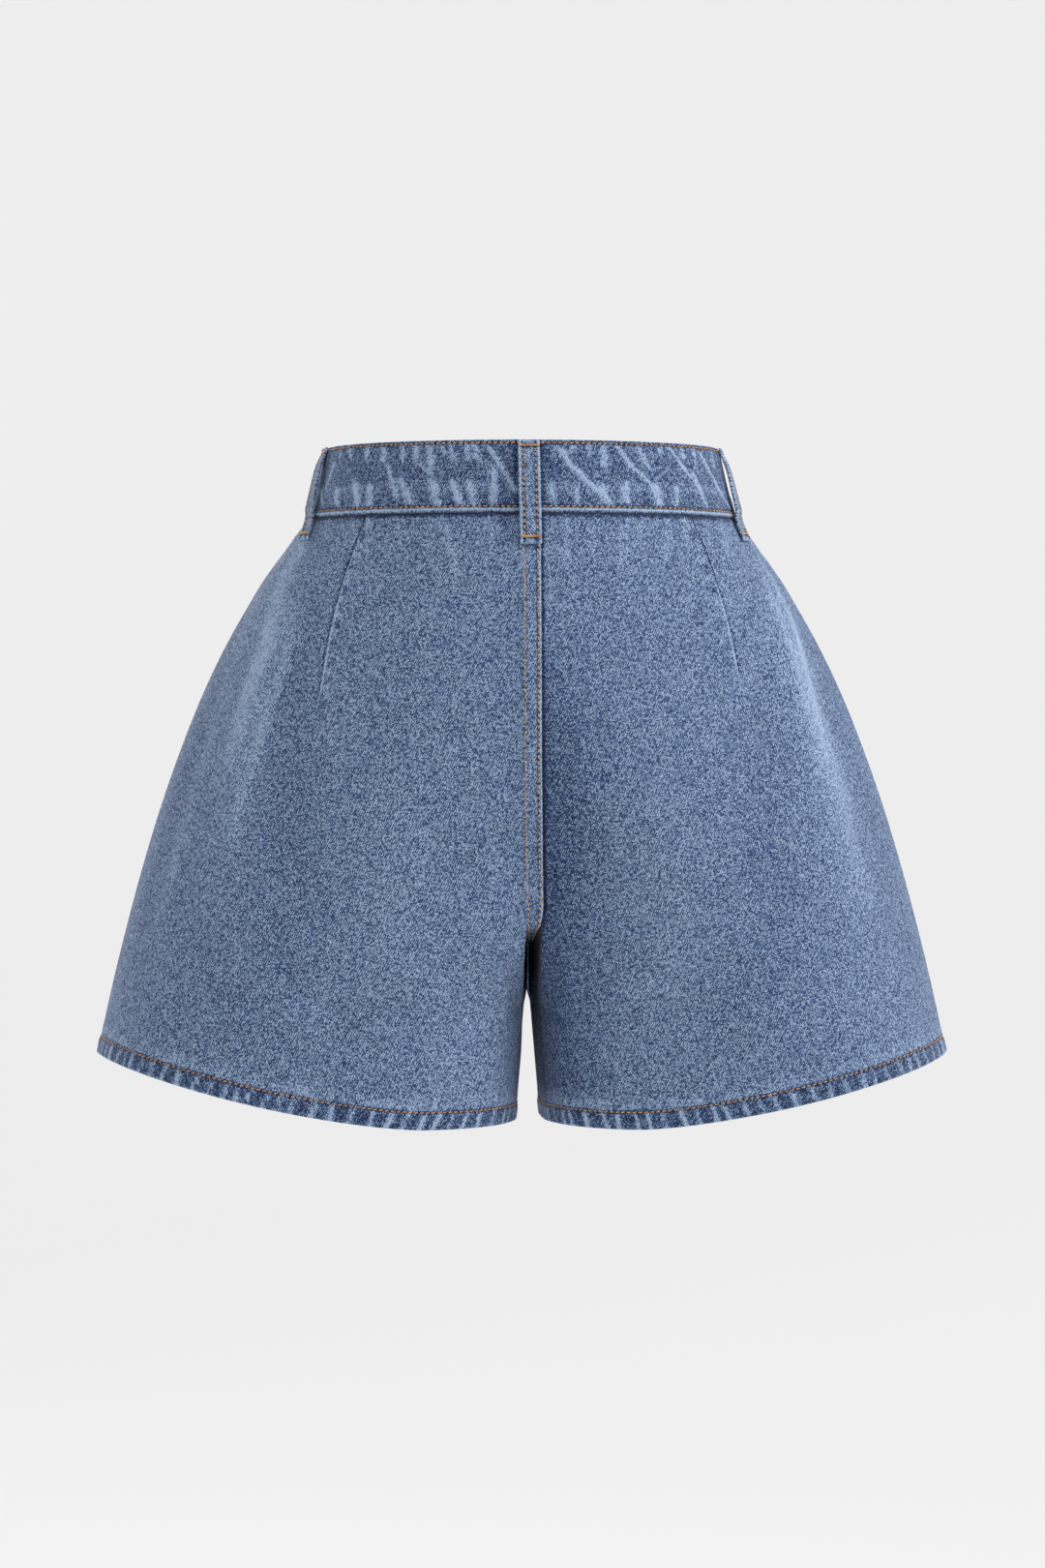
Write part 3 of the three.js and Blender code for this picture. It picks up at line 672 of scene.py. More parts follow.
    # the hem: turned twice, puckered between its fold and its stitches, faded on every crest
    height = z - hem_height(face, share)
    near_hem = height < 34
    hem_length = read_level(face, "length", np.array(WAIST_SEAM - LENGTH + HEM_TURN))
    roping = np.zeros(share.shape)
    halo = np.zeros(share.shape)
    hem_way = share * hem_length
    roping[near_hem] = ridge_field(hem_way[near_hem], height[near_hem], hem_ridges(side, face, hem_length))
    halo[near_hem] = ridge_field(hem_way[near_hem], height[near_hem], halo_ridges(side, face, hem_length))
    in_hem = 1 - smooth_step(HEM_TURN - 0.6, HEM_TURN + 1.2, height)
    fine += pucker * roping + LIFT["halo"] * pucker * halo + LIFT["hem"] * in_hem
    fine += LIFT["hem_row"] * bell(height - HEM_TURN + 0.4, 0.8)
    wear_and_painted_light += in_hem * (WEAR_AND_PAINTED_LIGHT["hem_crests"] * np.clip(roping, 0, 1) + WEAR_AND_PAINTED_LIGHT["hem"]) + WEAR_AND_PAINTED_LIGHT["halo"] * halo
    wear_and_painted_light += (WEAR_AND_PAINTED_LIGHT["hem_edge"] + WEAR_AND_PAINTED_LIGHT["hem_edge_crests"] * roping) * bell(height - 0.2, 0.9)
    wear_and_painted_light += WEAR_AND_PAINTED_LIGHT["above_hem"] * bell(height - 14, 3)
    wear_and_painted_light += WEAR_AND_PAINTED_LIGHT["hem_row"] * bell(height - HEM_TURN + 0.4, 0.75)
    return slow + fine, slow, wear_and_painted_light


def flat_cloth(side, face, share, z, places):
    """The cloth's own flat coordinates: across the panel from the centre line, and down along each column"""
    length = read_level(face, "length", z)
    across = read_level(face, "flat_start", z) + share * length
    steps = np.linalg.norm(np.diff(places, axis=0, prepend=places[:1]), axis=-1)
    shift = np.abs(np.diff(across, axis=0, prepend=across[:1]))
    down = np.cumsum(np.sqrt(np.maximum(steps ** 2 - shift ** 2, 0)), axis=0)
    return cloth_map(across * (side if face == BACK else -side), -down)


def cloth_map(right, up):
    """Flat coordinates turned to the slant of the twill, so that its ribs lean the same way on every piece"""
    return np.stack([
        right * math.cos(TWILL_TURN) - up * math.sin(TWILL_TURN),
        up * math.cos(TWILL_TURN) + right * math.sin(TWILL_TURN),
    ], axis=-1) * MM


def mesh_object(name, places, faces):
    """A smooth-shaded mesh object at the origin, its points given in millimetres"""
    mesh = bpy.data.meshes.new(name)
    mesh.from_pydata((np.asarray(places).reshape(-1, 3) * MM).tolist(), [], faces)
    mesh.polygons.foreach_set("use_smooth", np.ones(len(mesh.polygons), bool))
    mesh.update()
    piece = bpy.data.objects.new(name, mesh)
    bpy.context.scene.collection.objects.link(piece)
    return piece


def sheet_faces(rows, columns):
    """Quads of a closed sheet: an outer grid, the inner grid after it turned the other way, and four edges"""
    spot = np.arange(rows * columns).reshape(rows, columns)
    inner = spot + rows * columns

    def quads(grid):
        return np.stack([grid[:-1, :-1], grid[1:, :-1], grid[1:, 1:], grid[:-1, 1:]], axis=-1).reshape(-1, 4)

    def edge(outside, inside):
        return np.stack([outside[:-1], outside[1:], inside[1:], inside[:-1]], axis=-1)

    return np.concatenate([
        quads(spot), quads(inner)[:, ::-1],
        edge(spot[0], inner[0]), edge(inner[-1], spot[-1]),
        edge(inner[:, 0], spot[:, 0]), edge(spot[:, -1], inner[:, -1]),
    ])


def volume_of(places, quads):
    """Six times the signed volume inside quads, each cut in two"""
    a, b, c, d = (places[quads[:, k]] for k in range(4))
    return np.sum(a * np.cross(b, c)) + np.sum(a * np.cross(c, d))


def sheet_object(name, outer, inner, flat, wear_and_painted_light):
    """A closed sheet of cloth from its two faces, with flat coordinates, how worn it is with its painted
    shade and highlight, and an inside mask
    """
    rows, columns = outer.shape[:2]
    places = np.concatenate([outer.reshape(-1, 3), inner.reshape(-1, 3)])
    quads = sheet_faces(rows, columns)
    if volume_of(places, quads) < 0:
        quads = quads[:, ::-1]
    piece = mesh_object(name, places, quads.tolist())
    mesh = piece.data
    corner = np.zeros(len(mesh.loops), int)
    mesh.loops.foreach_get("vertex_index", corner)
    layer = mesh.uv_layers.new(name="cloth")
    both = np.concatenate([flat.reshape(-1, 2), flat.reshape(-1, 2)])
    layer.data.foreach_set("uv", both[corner].ravel())
    count = rows * columns
    put_attribute(mesh, "wear_and_painted_light", np.concatenate([wear_and_painted_light.ravel(), 0.3 * wear_and_painted_light.ravel()]))
    put_attribute(mesh, "inside", np.concatenate([np.zeros(count), np.ones(count)]))
    return piece


def put_attribute(mesh, name, values):
    attribute = mesh.attributes.new(name, "FLOAT", "POINT")
    attribute.data.foreach_set("value", np.asarray(values, np.float32))


def panel_columns(side, face, z):
    """Shares of the ring for a panel's columns: close together at both seams and along the dart.

    They are laid out by the turn round the leg's ellipse, which changes slowly down the whole panel.
    """
    marks = [0 * z]
    names = ("lap_turn", ("dart_turn", side), ("dart_end_turn", side), "side_turn")
    marks += [read_level(face, name, z) for name in names]
    marks += [1 + 0 * z]
    even = np.linspace(0, 1, PANEL_COLUMNS)[None]
    turn = 0 * even * z
    for k in range(len(marks) - 1):
        part = np.clip((even - COLUMN_PARTS[k]) / (COLUMN_PARTS[k + 1] - COLUMN_PARTS[k]), 0, 1)
        turn = turn + (marks[k + 1] - marks[k]) * part
    return read_grid(RINGS[face]["turn_share"], z, turn)


def panel_heights(face, share):
    """Heights of a panel's rows: even down to the hem's turn, then close together over the hem"""
    top = BAND_FOOT - SEAM_GAP
    hem = hem_height(face, share[-1:])
    zone = hem + HEM_TURN + 9
    body = np.linspace(0, 1, PANEL_ROWS)[:, None]
    upper = top + (zone - top) * body
    low = np.linspace(0, 1, 2 * HEM_ROWS)[1:, None]
    eased = low + 0.35 * np.sin(math.pi * low) / math.pi
    return np.concatenate([upper, zone + (hem - zone) * eased])


def edge_rounding(height, radius):
    """How far a cloth's folded edge draws back from its face at a height above the fold"""
    inside = np.clip(1 - height / radius, 0, 1)
    return radius * (1 - np.sqrt(1 - inside * inside))


def panel_piece(side, face, name):
    """One leg panel: the bare form lifted by its relief, and the same form sunk by the wall inside"""
    cloth = cloth_sizes().cloth
    z = panel_heights(face, np.linspace(0, 1, PANEL_COLUMNS)[None])
    for _ in range(3):
        share = panel_columns(side, face, z)
        z = panel_heights(face, share)
    length = read_level(face, "length", z)
    half_gap = SEAM_GAP / 2 / length
    share = np.clip(share, half_gap, 1 - half_gap)
    lift, slow, wear_and_painted_light = panel_relief(side, face, share, z)
    bare = form_point(side, face, share, z)
    normal = form_normal(side, face, share, z)
    height = z - hem_height(face, share)
    fold = edge_rounding(height, cloth)
    way = share * length
    edge = LAP * lap_taper(z)
    lap = LAP_PROUD * (1 - smooth_step(edge - 0.6, edge + 3.4, way)) if side == LEFT else 0
    wall = cloth * (1 + (1 - smooth_step(HEM_TURN - 0.8, HEM_TURN + 0.4, height)))
    outer = bare + normal * (lift - fold)[..., None]
    inner = bare + normal * (slow - lap * smooth_step(LAP_END - 6, LAP_END + 10, z) - wall + fold)[..., None]
    piece = sheet_object(name, outer, inner, flat_cloth(side, face, share, z, bare), wear_and_painted_light)
    return piece


def lap_strip(face):
    """The left panel's folded edge over the right panel: a strip with its free edge rounded under"""
    stations = np.concatenate([np.linspace(-LAP, LAP - 1.4, 14), LAP - 1.3 * np.linspace(0.85, 0, 7) ** 1.6])
    z = np.arange(BAND_FOOT - SEAM_GAP, LAP_END, -1.5)[:, None]
    flat_reach = stations[None] + 0 * z
    outer_lift = LAP_PROUD - edge_rounding(LAP - flat_reach, 1.3) * 0.9
    seam_row = bell(np.abs(flat_reach) - TWIN_ROWS, 0.7)
    at_edge = smooth_step(LAP - 3, LAP - 1, flat_reach)
    outer_lift = outer_lift + LIFT["strip_row"] * seam_row + LIFT["strip_edge"] * np.sin(z * 1.9) * at_edge
    inner_lift = np.where(flat_reach > 0, SEAM_GAP, -0.6)
    reach = flat_reach * lap_taper(z)
    places = []
    for lift in (outer_lift, inner_lift):
        sheets = []
        for side, part in ((LEFT, reach <= 0), (RIGHT, reach > 0)):
            share = np.abs(reach) / read_level(face, "length", z + 0 * reach)
            point = form_point(side, face, share, z + 0 * reach)
            normal = form_normal(side, face, share, z + 0 * reach)
            slow = fold_lift(share, z, read_level(face, "length", z))
            sheets.append((part[..., None], point + normal * (lift + slow)[..., None]))
        places.append(np.where(sheets[0][0], sheets[0][1], sheets[1][1]))
    across = reach * (1 if face == BACK else -1)
    flat = cloth_map(across, z + 0 * across)
    # the folded edge is drawn lighter, as abraded cloth and painted highlight
    wear_and_painted_light = WEAR_AND_PAINTED_LIGHT["strip_edge"] * bell(flat_reach - LAP + 0.6, 0.8)
    wear_and_painted_light = wear_and_painted_light + WEAR_AND_PAINTED_LIGHT["strip_row"] * seam_row + WEAR_AND_PAINTED_LIGHT["strip"]
    # painted shadow where the lapped seam dives between the legs
    wear_and_painted_light = wear_and_painted_light + WEAR_AND_PAINTED_LIGHT["strip_end_shadow"] * smooth_step(6, 0, z - LAP_END)
    wear_and_painted_light = wear_and_painted_light + WEAR_AND_PAINTED_LIGHT["shadow_below_loop"] * shadow_below_loop(z) * (face == BACK)
    return sheet_object("lap", places[0], places[1], flat, wear_and_painted_light)


def join_pieces(first, others):
    """Joins loose sheets into the first one's object, keeping their attributes"""
    with bpy.context.temp_override(active_object=first, selected_editable_objects=[first, *others]):
        bpy.ops.object.join()
    return first


def band_frame(side, share, reach, z):
    """The bare form and its normal round the waist: a share of the half girth and a reach past the front"""
    back = read_level(BACK, "length", z)
    front = read_level(FRONT, "length", z)
    way = share * (back + front) + reach
    past = way > back + front
    on_back = way <= back
    ring_way = np.where(on_back, way, np.where(past, way - back - front, back + front - way))
    signed = np.where(past, -side, side)
    places = np.zeros(way.shape + (3,))
    normals = np.zeros(way.shape + (3,))
    for face, part, length in ((BACK, on_back, back), (FRONT, ~on_back, front)):
        here = form_point(signed, face, ring_way / length, z)
        lean = form_normal(signed, face, ring_way / length, z)
        places = np.where(part[..., None], here, places)
        normals = np.where(part[..., None], lean, normals)
    return places, normals


def band_way():
    """The waistband's columns as a signed way round the top edge, from the under end to the over end"""
    half = float(read_level(BACK, "length", np.array(0.0)) + read_level(FRONT, "length", np.array(0.0)))
    return half, np.linspace(half + BAND_LAP, -half - BAND_LAP, BAND_COLUMNS)


def band_spot(way, half):
    """Side, share and reach of a signed way round the band, so that it lies straight on the flared form"""
    side = np.where(way >= 0, RIGHT, LEFT)
    out = np.abs(way)
    share = np.minimum(out / half, 1)
    return side, share, np.maximum(out - half, 0)


def band_lift(way, half):
    """The over end is lifted clear of the under end by a ramp"""
    over = smooth_step(half - BAND_LAP - BAND_STEP, half - BAND_LAP - 1, -way)
    return over * (BAND_WALL + SEAM_GAP)


def band_relief(way, z, half):
    """The waistband's puckers: leaning crests from its top edge, and short ones that rise from its seam"""
    upper = random_ridges(5, -half, half, (5.5, 13), (-0.55, 0.35), (-7, 4), (12, 16.5),
                          (1.3, 2.3), (0.2, 0.75))
    lower = random_ridges(8, -half, half, (6.5, 12.5), (-0.35, 0.35), (-18, -14.5), (-10, -3),
                          (1.8, 3.2), (0.3, 0.85))
    unseen = [ridges[np.abs(ridges[:, 0]) > BAND_SEEN] for ridges in (upper, lower)]
    crests = sum(ridge_field(way, z, ridges) for ridges in (*unseen, BAND_CREASES))
    rows = bell(BAND_TOP - z - BAND_TOP_ROW, 0.7) + bell(z - BAND_FOOT - BAND_LOW_ROW, 0.7)
    rolled = bell(z - BAND_FOOT - 1.2, 0.85)
    lift = cloth_sizes().pucker * crests + LIFT["band_row"] * rows + LIFT["band_roll"] * rolled
    wear_and_painted_light = WEAR_AND_PAINTED_LIGHT["band_crests"] * np.clip(crests, 0, 0.85) + WEAR_AND_PAINTED_LIGHT["band"]
    # the rolled low edge is drawn lighter, as worn cloth and painted highlight
    wear_and_painted_light += WEAR_AND_PAINTED_LIGHT["band_row"] * rows + WEAR_AND_PAINTED_LIGHT["band_roll"] * rolled
    wear_and_painted_light += WEAR_AND_PAINTED_LIGHT["band_middle"] * bell(z - WORN_ROW, 2.4)
    wear_and_painted_light += WEAR_AND_PAINTED_LIGHT["band_top"] * bell(BAND_TOP - z - 0.3, 0.8)
    for _, side, face, share in LOOPS:
        place = loop_way(side, face, share)
        # painted shadow that each belt loop casts on the band beside it
        wear_and_painted_light += WEAR_AND_PAINTED_LIGHT["shadow_beside_loop"] * bell(np.abs(way - place) - LOOP_WIDTH / 2 - 0.9, 0.9)
    return lift, wear_and_painted_light


def loop_way(side, face, share):
    """A belt loop's signed way round the waistband from the centre back"""
    back = float(read_level(BACK, "length", np.array(0.0)))
    front = float(read_level(FRONT, "length", np.array(0.0)))
    return side * (share * back if face == BACK else back + front - share * front)


def waistband_piece():
    half, columns = band_way()
    rows = np.linspace(0, 1, BAND_ROWS)
    rows = rows - 0.5 * np.sin(2 * math.pi * rows) / (2 * math.pi)
    z = (BAND_TOP + (BAND_FOOT - BAND_TOP) * rows)[:, None] + 0 * columns[None]
    way = columns[None] + 0 * z
    side, share, reach = band_spot(way, half)
    places, normals = band_frame(side, share, reach, z)
    relief, wear_and_painted_light = band_relief(way, z, half)
    fold = edge_rounding(np.minimum(BAND_TOP - z, z - BAND_FOOT), 1.15)
    lift = BAND_PROUD + band_lift(way, half)
    outer = places + normals * (lift + relief - fold)[..., None]
    inner = places + normals * (lift - BAND_WALL + fold)[..., None]
    flat = cloth_map(way, z)
    piece = sheet_object("waistband_cloth", outer, inner, flat, wear_and_painted_light)
    cut_buttonhole(piece)
    return piece


def cut_buttonhole(piece):
    """Takes the slit and its eyelet out of the band's over end, through both faces, and walls their edge"""
    mesh = piece.data
    work = bmesh.new()
    work.from_mesh(mesh)
    cut = []
    front = read_level(FRONT, "length", np.array(0.0))
    for face in work.faces:
        middle = face.calc_center_median() / MM
        if middle.y < 60 or abs(middle.z) > EYELET or abs(middle.x) > BUTTONHOLE + 1:
            continue
        form_y = form_point(RIGHT, FRONT, np.array([abs(middle.x) / front]), np.array([middle.z]))[0, 1]
        over_end = middle.y - form_y > BAND_PROUD + 0.15
        in_slit = abs(middle.z) < SLIT and -BUTTONHOLE < middle.x < 0
        if over_end and (in_slit or math.hypot(middle.x, middle.z) < EYELET):
            cut.append(face)
    bmesh.ops.delete(work, geom=cut, context="FACES")
    edges = [edge for edge in work.edges if edge.is_boundary]
    if edges:
        bmesh.ops.bridge_loops(work, edges=edges)
    bmesh.ops.recalc_face_normals(work, faces=work.faces)
    work.to_mesh(mesh)
    work.free()


def loop_path(side, face, share):
    """A belt loop's inner face: its standoff, smoothed between the table's rows, on the cloth behind it.

    The loop hangs straight, so it keeps its distance from the centre line, measured along the cloth.
    """
    heights = LOOP_PROFILE["z" if share == 0 else "side_z"]
    z = np.linspace(heights[0], heights[-1], 61)
    table_z = np.array(heights[::-1], float)
    standoff = np.interp(z, table_z, np.array(LOOP_PROFILE["back" if share == 0 else "side"][::-1], float))
    kernel = np.array([1, 4, 6, 4, 1]) / 16
    standoff[2:-2] = np.convolve(standoff, kernel, "valid")
    over_lap = LAP_PROUD if share == 0 else 0
    proud = np.where(z > WAIST_SEAM, BAND_PROUD, over_lap)
    proud[2:-2] = np.convolve(proud, kernel, "valid")
    lean = SIDE_LOOP_LEAN * np.linspace(0, 1, 61) * (face == BACK and share > 0 and side == LEFT)
    at = (share * read_level(face, "length", np.array(0.0)) - lean) / read_level(face, "length", z)
    normal = form_normal(side, face, at, z)
    centre = form_point(side, face, at, z) + normal * (proud + standoff)[:, None]
    across = np.stack([-normal[:, 1], normal[:, 0], 0 * z], axis=-1)
    across /= np.linalg.norm(across, axis=-1, keepdims=True)
    return centre, normal, across


def loop_piece(name, side, face, share):
    """A belt loop: a folded strip with round edges and rounded ends"""
    centre, normal, across = loop_path(side, face, share)
    columns = np.linspace(-1, 1, 25)
    columns = np.sign(columns) * np.abs(columns) ** 0.8
    half = LOOP_WIDTH / 2
    reach = columns * half
    rows = len(centre)
    end = np.minimum(np.arange(rows), np.arange(rows)[::-1])[:, None]
    edge = edge_rounding(half - np.abs(reach), 0.85)[None]
    stitched = bell(np.abs(reach) - LOOP_ROWS, 0.6)[None]
    ridge = bell(np.abs(reach) - half + 0.9, 0.7)[None]
    tack = bell(end - 3.5, 1.5)
    face_lift = LOOP_THICKNESS + LIFT["loop_edge"] * ridge + LIFT["loop_row"] * stitched
    face_lift = face_lift + LIFT["loop_tack"] * tack - edge * 0.9
    face_lift = face_lift - 0.9 * edge_rounding(end * 0.9, 0.9)
    base_lift = edge * 0.9 + 0 * end
    spot = centre[:, None] + across[:, None] * reach[None, :, None]
    outer = spot + normal[:, None] * face_lift[..., None]
    inner = spot + normal[:, None] * base_lift[..., None]
    wear_and_painted_light = WEAR_AND_PAINTED_LIGHT["loop"] + WEAR_AND_PAINTED_LIGHT["loop_edge"] * ridge + WEAR_AND_PAINTED_LIGHT["loop_row"] * stitched
    wear_and_painted_light = wear_and_painted_light + WEAR_AND_PAINTED_LIGHT["loop_end"] * bell(end, 1.3) + WEAR_AND_PAINTED_LIGHT["loop_tack"] * tack
    down = np.arange(rows)[:, None] * (LOOP_PROFILE["z"][0] - LOOP_PROFILE["z"][-1]) / (rows - 1)
    flat = cloth_map(reach[None] - 0 * down, -down + 0 * reach[None]) * np.array([-1, 1])
    return sheet_object(name, outer, inner, flat, wear_and_painted_light)


def stitch_template():
    """One stitch as a bent capsule: rings of six points on a line that dips into the cloth at both ends"""
    along = np.array([-1, -0.62, 0, 0.62, 1.0])
    radius = np.array([0.5, 0.95, 1, 0.95, 0.5])
    turn = np.arange(6) * math.pi / 3
    rings = np.stack([
        np.repeat(along, 6),
        np.tile(np.cos(turn), 5) * np.repeat(radius, 6),
        np.tile(np.sin(turn), 5) * np.repeat(radius, 6),
        np.repeat(1 - along ** 2, 6),
    ], axis=-1)
    faces = []
    for k in range(4):
        for j in range(6):
            here, ahead = 6 * k + j, 6 * k + (j + 1) % 6
            faces.append([here, ahead, ahead + 6, here + 6])
    faces += [[5, 4, 3, 2, 1, 0], [24, 25, 26, 27, 28, 29]]
    return rings, faces


def lay_stitches(middles, tangents, normals, half_length, radius, twist, seed):
    """Points and faces of many stitches: the template laid along each tangent and lifted on each normal"""
    rng = np.random.default_rng(seed)
    rings, faces = stitch_template()
    turn = twist + rng.normal(0, 0.05, len(middles))
    side_way = np.cross(normals, tangents)
    ahead = tangents * np.cos(turn)[:, None] + side_way * np.sin(turn)[:, None]
    beside = np.cross(normals, ahead)
    rise = rings[:, 3] * 0.42 * radius
    points = (
        middles[:, None]
        + ahead[:, None] * (rings[None, :, 0, None] * half_length)
        + beside[:, None] * (rings[None, :, 1, None] * radius)
        + normals[:, None] * (rings[None, :, 2, None] * radius * 0.8 + rise[None, :, None])
    )
    count = len(rings)
    every = [[corner + count * k for corner in face] for k in range(len(middles)) for face in faces]
    return points.reshape(-1, 3), every


def even_spots(places, normals, pitch):
    """Middles, tangents and normals at an even pitch along a dense line of points"""
    steps = np.linalg.norm(np.diff(places, axis=0), axis=-1)
    walked = np.concatenate([[0], np.cumsum(steps)])
    count = max(2, int(walked[-1] / pitch))
    at = (np.arange(count) + 0.5) * walked[-1] / count
    near = walked[-1] / count * 0.3

    def read(values, where):
        return np.stack([np.interp(where, walked, values[:, k]) for k in range(3)], axis=-1)

    tangents = read(places, at + near) - read(places, at - near)
    tangents /= np.linalg.norm(tangents, axis=-1, keepdims=True)
    lean = read(normals, at)
    lean -= tangents * np.sum(lean * tangents, axis=-1, keepdims=True)
    lean /= np.linalg.norm(lean, axis=-1, keepdims=True)
    return read(places, at), tangents, lean


def stitch_rows(lines):
    """All the stitches of a list of lines, each a pair of points and normals"""
    sizes = cloth_sizes()
    parts = []
    for number, (line, normals) in enumerate(lines):
        middles, tangents, lean = even_spots(line, normals, sizes.stitch)
        half_length, radius = sizes.stitch * STITCH_HALF, sizes.thread / 2
        parts.append(lay_stitches(middles, tangents, lean, half_length, radius, STITCH_TWIST, number))
    return parts


def sew(name, parts):
    """One object from lists of points and faces, in the sewing thread"""
    places, faces, start = [], [], 0
    for points, these in parts:
        faces += [[corner + start for corner in face] for face in these]
        places.append(points)
        start += len(points)
    piece = mesh_object(name, np.concatenate(places), faces)
    finish_piece(piece, "tan_thread")


def bar_tack(centre, along, up, normal, width):
    """A bar tack: short stitches laid side by side across a bar"""
    count = int(width / TACK_PITCH)
    spots = (np.arange(count) + 0.5) / count - 0.5
    middles = centre + along * (spots * width)[:, None]
    lean = np.repeat((up + along * 0.3)[None], count, axis=0)
    lean /= np.linalg.norm(lean, axis=-1, keepdims=True)
    normals = np.repeat(normal[None], count, axis=0)
    return lay_stitches(middles, lean, normals, TACK_HALF, TACK_RADIUS, 0.0, 3)


def panel_line(side, face, share, z, lift):
    """Points on a panel's outer face, with its relief, and their normals"""
    relief = panel_relief(side, face, share, z)[0]
    normal = form_normal(side, face, share, z)
    return form_point(side, face, share, z) + normal * (relief + lift)[:, None], normal


def hem_lines():
    """The hem's stitches, all round both legs, on the turn line above the fold"""
    lines = []
    for side in (LEFT, RIGHT):
        for face in (BACK, FRONT):
            share = np.linspace(0.004, 0.996, 700)
            z = hem_height(face, share) + HEM_TURN - 0.4
            lines.append(panel_line(side, face, share, z, STITCH_LIFT))
    return lines


def centre_lines(face, top):
    """The two rows through the lapped centre seam, on its raised face"""
    lines = []
    z = np.arange(top, LAP_END + 2, -1.0)
    for side in (LEFT, RIGHT):
        length = read_level(face, "length", z)
        share = TWIN_ROWS * lap_taper(z) / length
        normal = form_normal(side, face, share, z)
        slow = fold_lift(share, z, length)
        lift = (LAP_PROUD - STITCH_LIFT + slow)[:, None]
        lines.append((form_point(side, face, share, z) + normal * lift, normal))
    return lines


def fly_lines():
    """The fly's two rows: down the left front beside the flap, then in a curve to the centre front seam"""
    lines = []
    for inset in (0.0, TWIN_ROWS * 2):
        width = FLY_WIDTH - inset
        straight = np.linspace(0, FLY_LENGTH - FLY_WIDTH, 200)
        turn = np.linspace(0, math.pi / 2, 80)[1:]
        reach = np.concatenate([width + 0 * straight, LAP + (width - LAP) * np.cos(turn)])
        drop = np.concatenate([straight, FLY_LENGTH - FLY_WIDTH + (FLY_WIDTH - inset) * np.sin(turn)])
        z = WAIST_SEAM - 0.8 - drop
        share = reach / read_level(FRONT, "length", z)
        lines.append(panel_line(LEFT, FRONT, share, z, STITCH_LIFT))
    return lines


def band_lines():
    """The waistband's rows: near its top edge, above its rolled low edge, and down its over end"""
    half, _ = band_way()
    lines = []
    for height in (BAND_TOP - BAND_TOP_ROW, BAND_FOOT + BAND_LOW_ROW):
        way = np.linspace(half - BAND_LAP - 1, -half - BAND_LAP + 2, 2400)
        z = np.full(way.shape, height)
        side, share, reach = band_spot(way, half)
        places, normals = band_frame(side, share, reach, z)
        lift = BAND_PROUD + band_lift(way, half) + band_relief(way, z, half)[0] + STITCH_LIFT
        lines.append((places + normals * lift[:, None], normals))
    z = np.linspace(BAND_TOP - BAND_TOP_ROW, BAND_FOOT + BAND_LOW_ROW, 80)
    way = np.full(z.shape, -half - BAND_LAP + 2)
    side, share, reach = band_spot(way, half)
    places, normals = band_frame(side, share, reach, z)
    lift = BAND_PROUD + band_lift(way, half) + 0.3
    lines.append((places + normals * lift[:, None], normals))
    return lines


def loop_lines(side, face, share):
    """A belt loop's two rows, between its bar tacks"""
    centre, normal, across = loop_path(side, face, share)
    lines = []
    for reach in (-LOOP_ROWS, LOOP_ROWS):
        line = centre + across * reach + normal * (LOOP_THICKNESS - 0.16)
        lines.append((line[4:-4], normal[4:-4]))
    return lines


def loop_sewing(name, side, face, share):
    """A belt loop's rows and its two bar tacks, as one object"""
    centre, normal, across = loop_path(side, face, share)
    parts = stitch_rows(loop_lines(side, face, share))
    for row in (TACK_ROWS[0], len(centre) + TACK_ROWS[1]):
        up = centre[row - 1] - centre[row + 1]
        up /= np.linalg.norm(up)
        middle = centre[row] + normal[row] * (LOOP_THICKNESS - 0.2)
        parts.append(bar_tack(middle, across[row], up, normal[row], LOOP_WIDTH - 0.8))
    sew(name, parts)


def turned_button(name, node, centre, normal, profile):
    """A button turned from a profile of radius and height, its axis laid along the cloth's normal"""
    sides = 56
    profile = np.array(profile, float)
    turn = np.arange(sides) * 2 * math.pi / sides
    across = np.cross(normal, [0.0, 0.0, 1.0])
    across /= np.linalg.norm(across)
    up = np.cross(across, normal)
    ring = np.cos(turn)[:, None] * across + np.sin(turn)[:, None] * up
    places = centre + ring[None] * profile[:, :1, None] + normal * profile[:, 1][:, None, None]
    rows = len(profile)
    spot = np.arange(rows * sides).reshape(rows, sides)
    ahead = np.roll(spot, -1, axis=1)
    quads = np.stack([spot[:-1], ahead[:-1], ahead[1:], spot[1:]], axis=-1).reshape(-1, 4)
    faces = quads.tolist() + [spot[0][::-1].tolist(), spot[-1].tolist()]
    piece = mesh_object(name, places, faces)
    piece.data.update()
    turn_faces_out(piece)
    finish_piece(piece, "aged_metal")
    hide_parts(node)
    return piece


def turn_faces_out(piece):
    work = bmesh.new()
    work.from_mesh(piece.data)
    bmesh.ops.recalc_face_normals(work, faces=work.faces)
    work.to_mesh(piece.data)
    work.free()


def finish_piece(piece, material):
    """Gives a piece its material and its body"""
    piece.data.materials.append(bpy.data.materials[material])
    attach(piece, "root")


def new_group(name, inputs, outputs):
    """A shader node group with the named inputs and outputs, and its two end nodes"""
    group = bpy.data.node_groups.new(name, "ShaderNodeTree")
    for label, kind, value in inputs:
        socket = group.interface.new_socket(label, in_out="INPUT", socket_type=kind)
        if value is not None:
            socket.default_value = value
    for label, kind in outputs:
        group.interface.new_socket(label, in_out="OUTPUT", socket_type=kind)
    return group, group.nodes.new("NodeGroupInput"), group.nodes.new("NodeGroupOutput")


def add_math(tree, kind, first, second=None, third=None):
    node = tree.nodes.new("ShaderNodeMath")
    node.operation = kind
    for k, value in enumerate((first, second, third)):
        if value is None:
            continue
        if isinstance(value, (int, float)):
            node.inputs[k].default_value = value
        else:
            tree.links.new(value, node.inputs[k])
    return node.outputs[0]


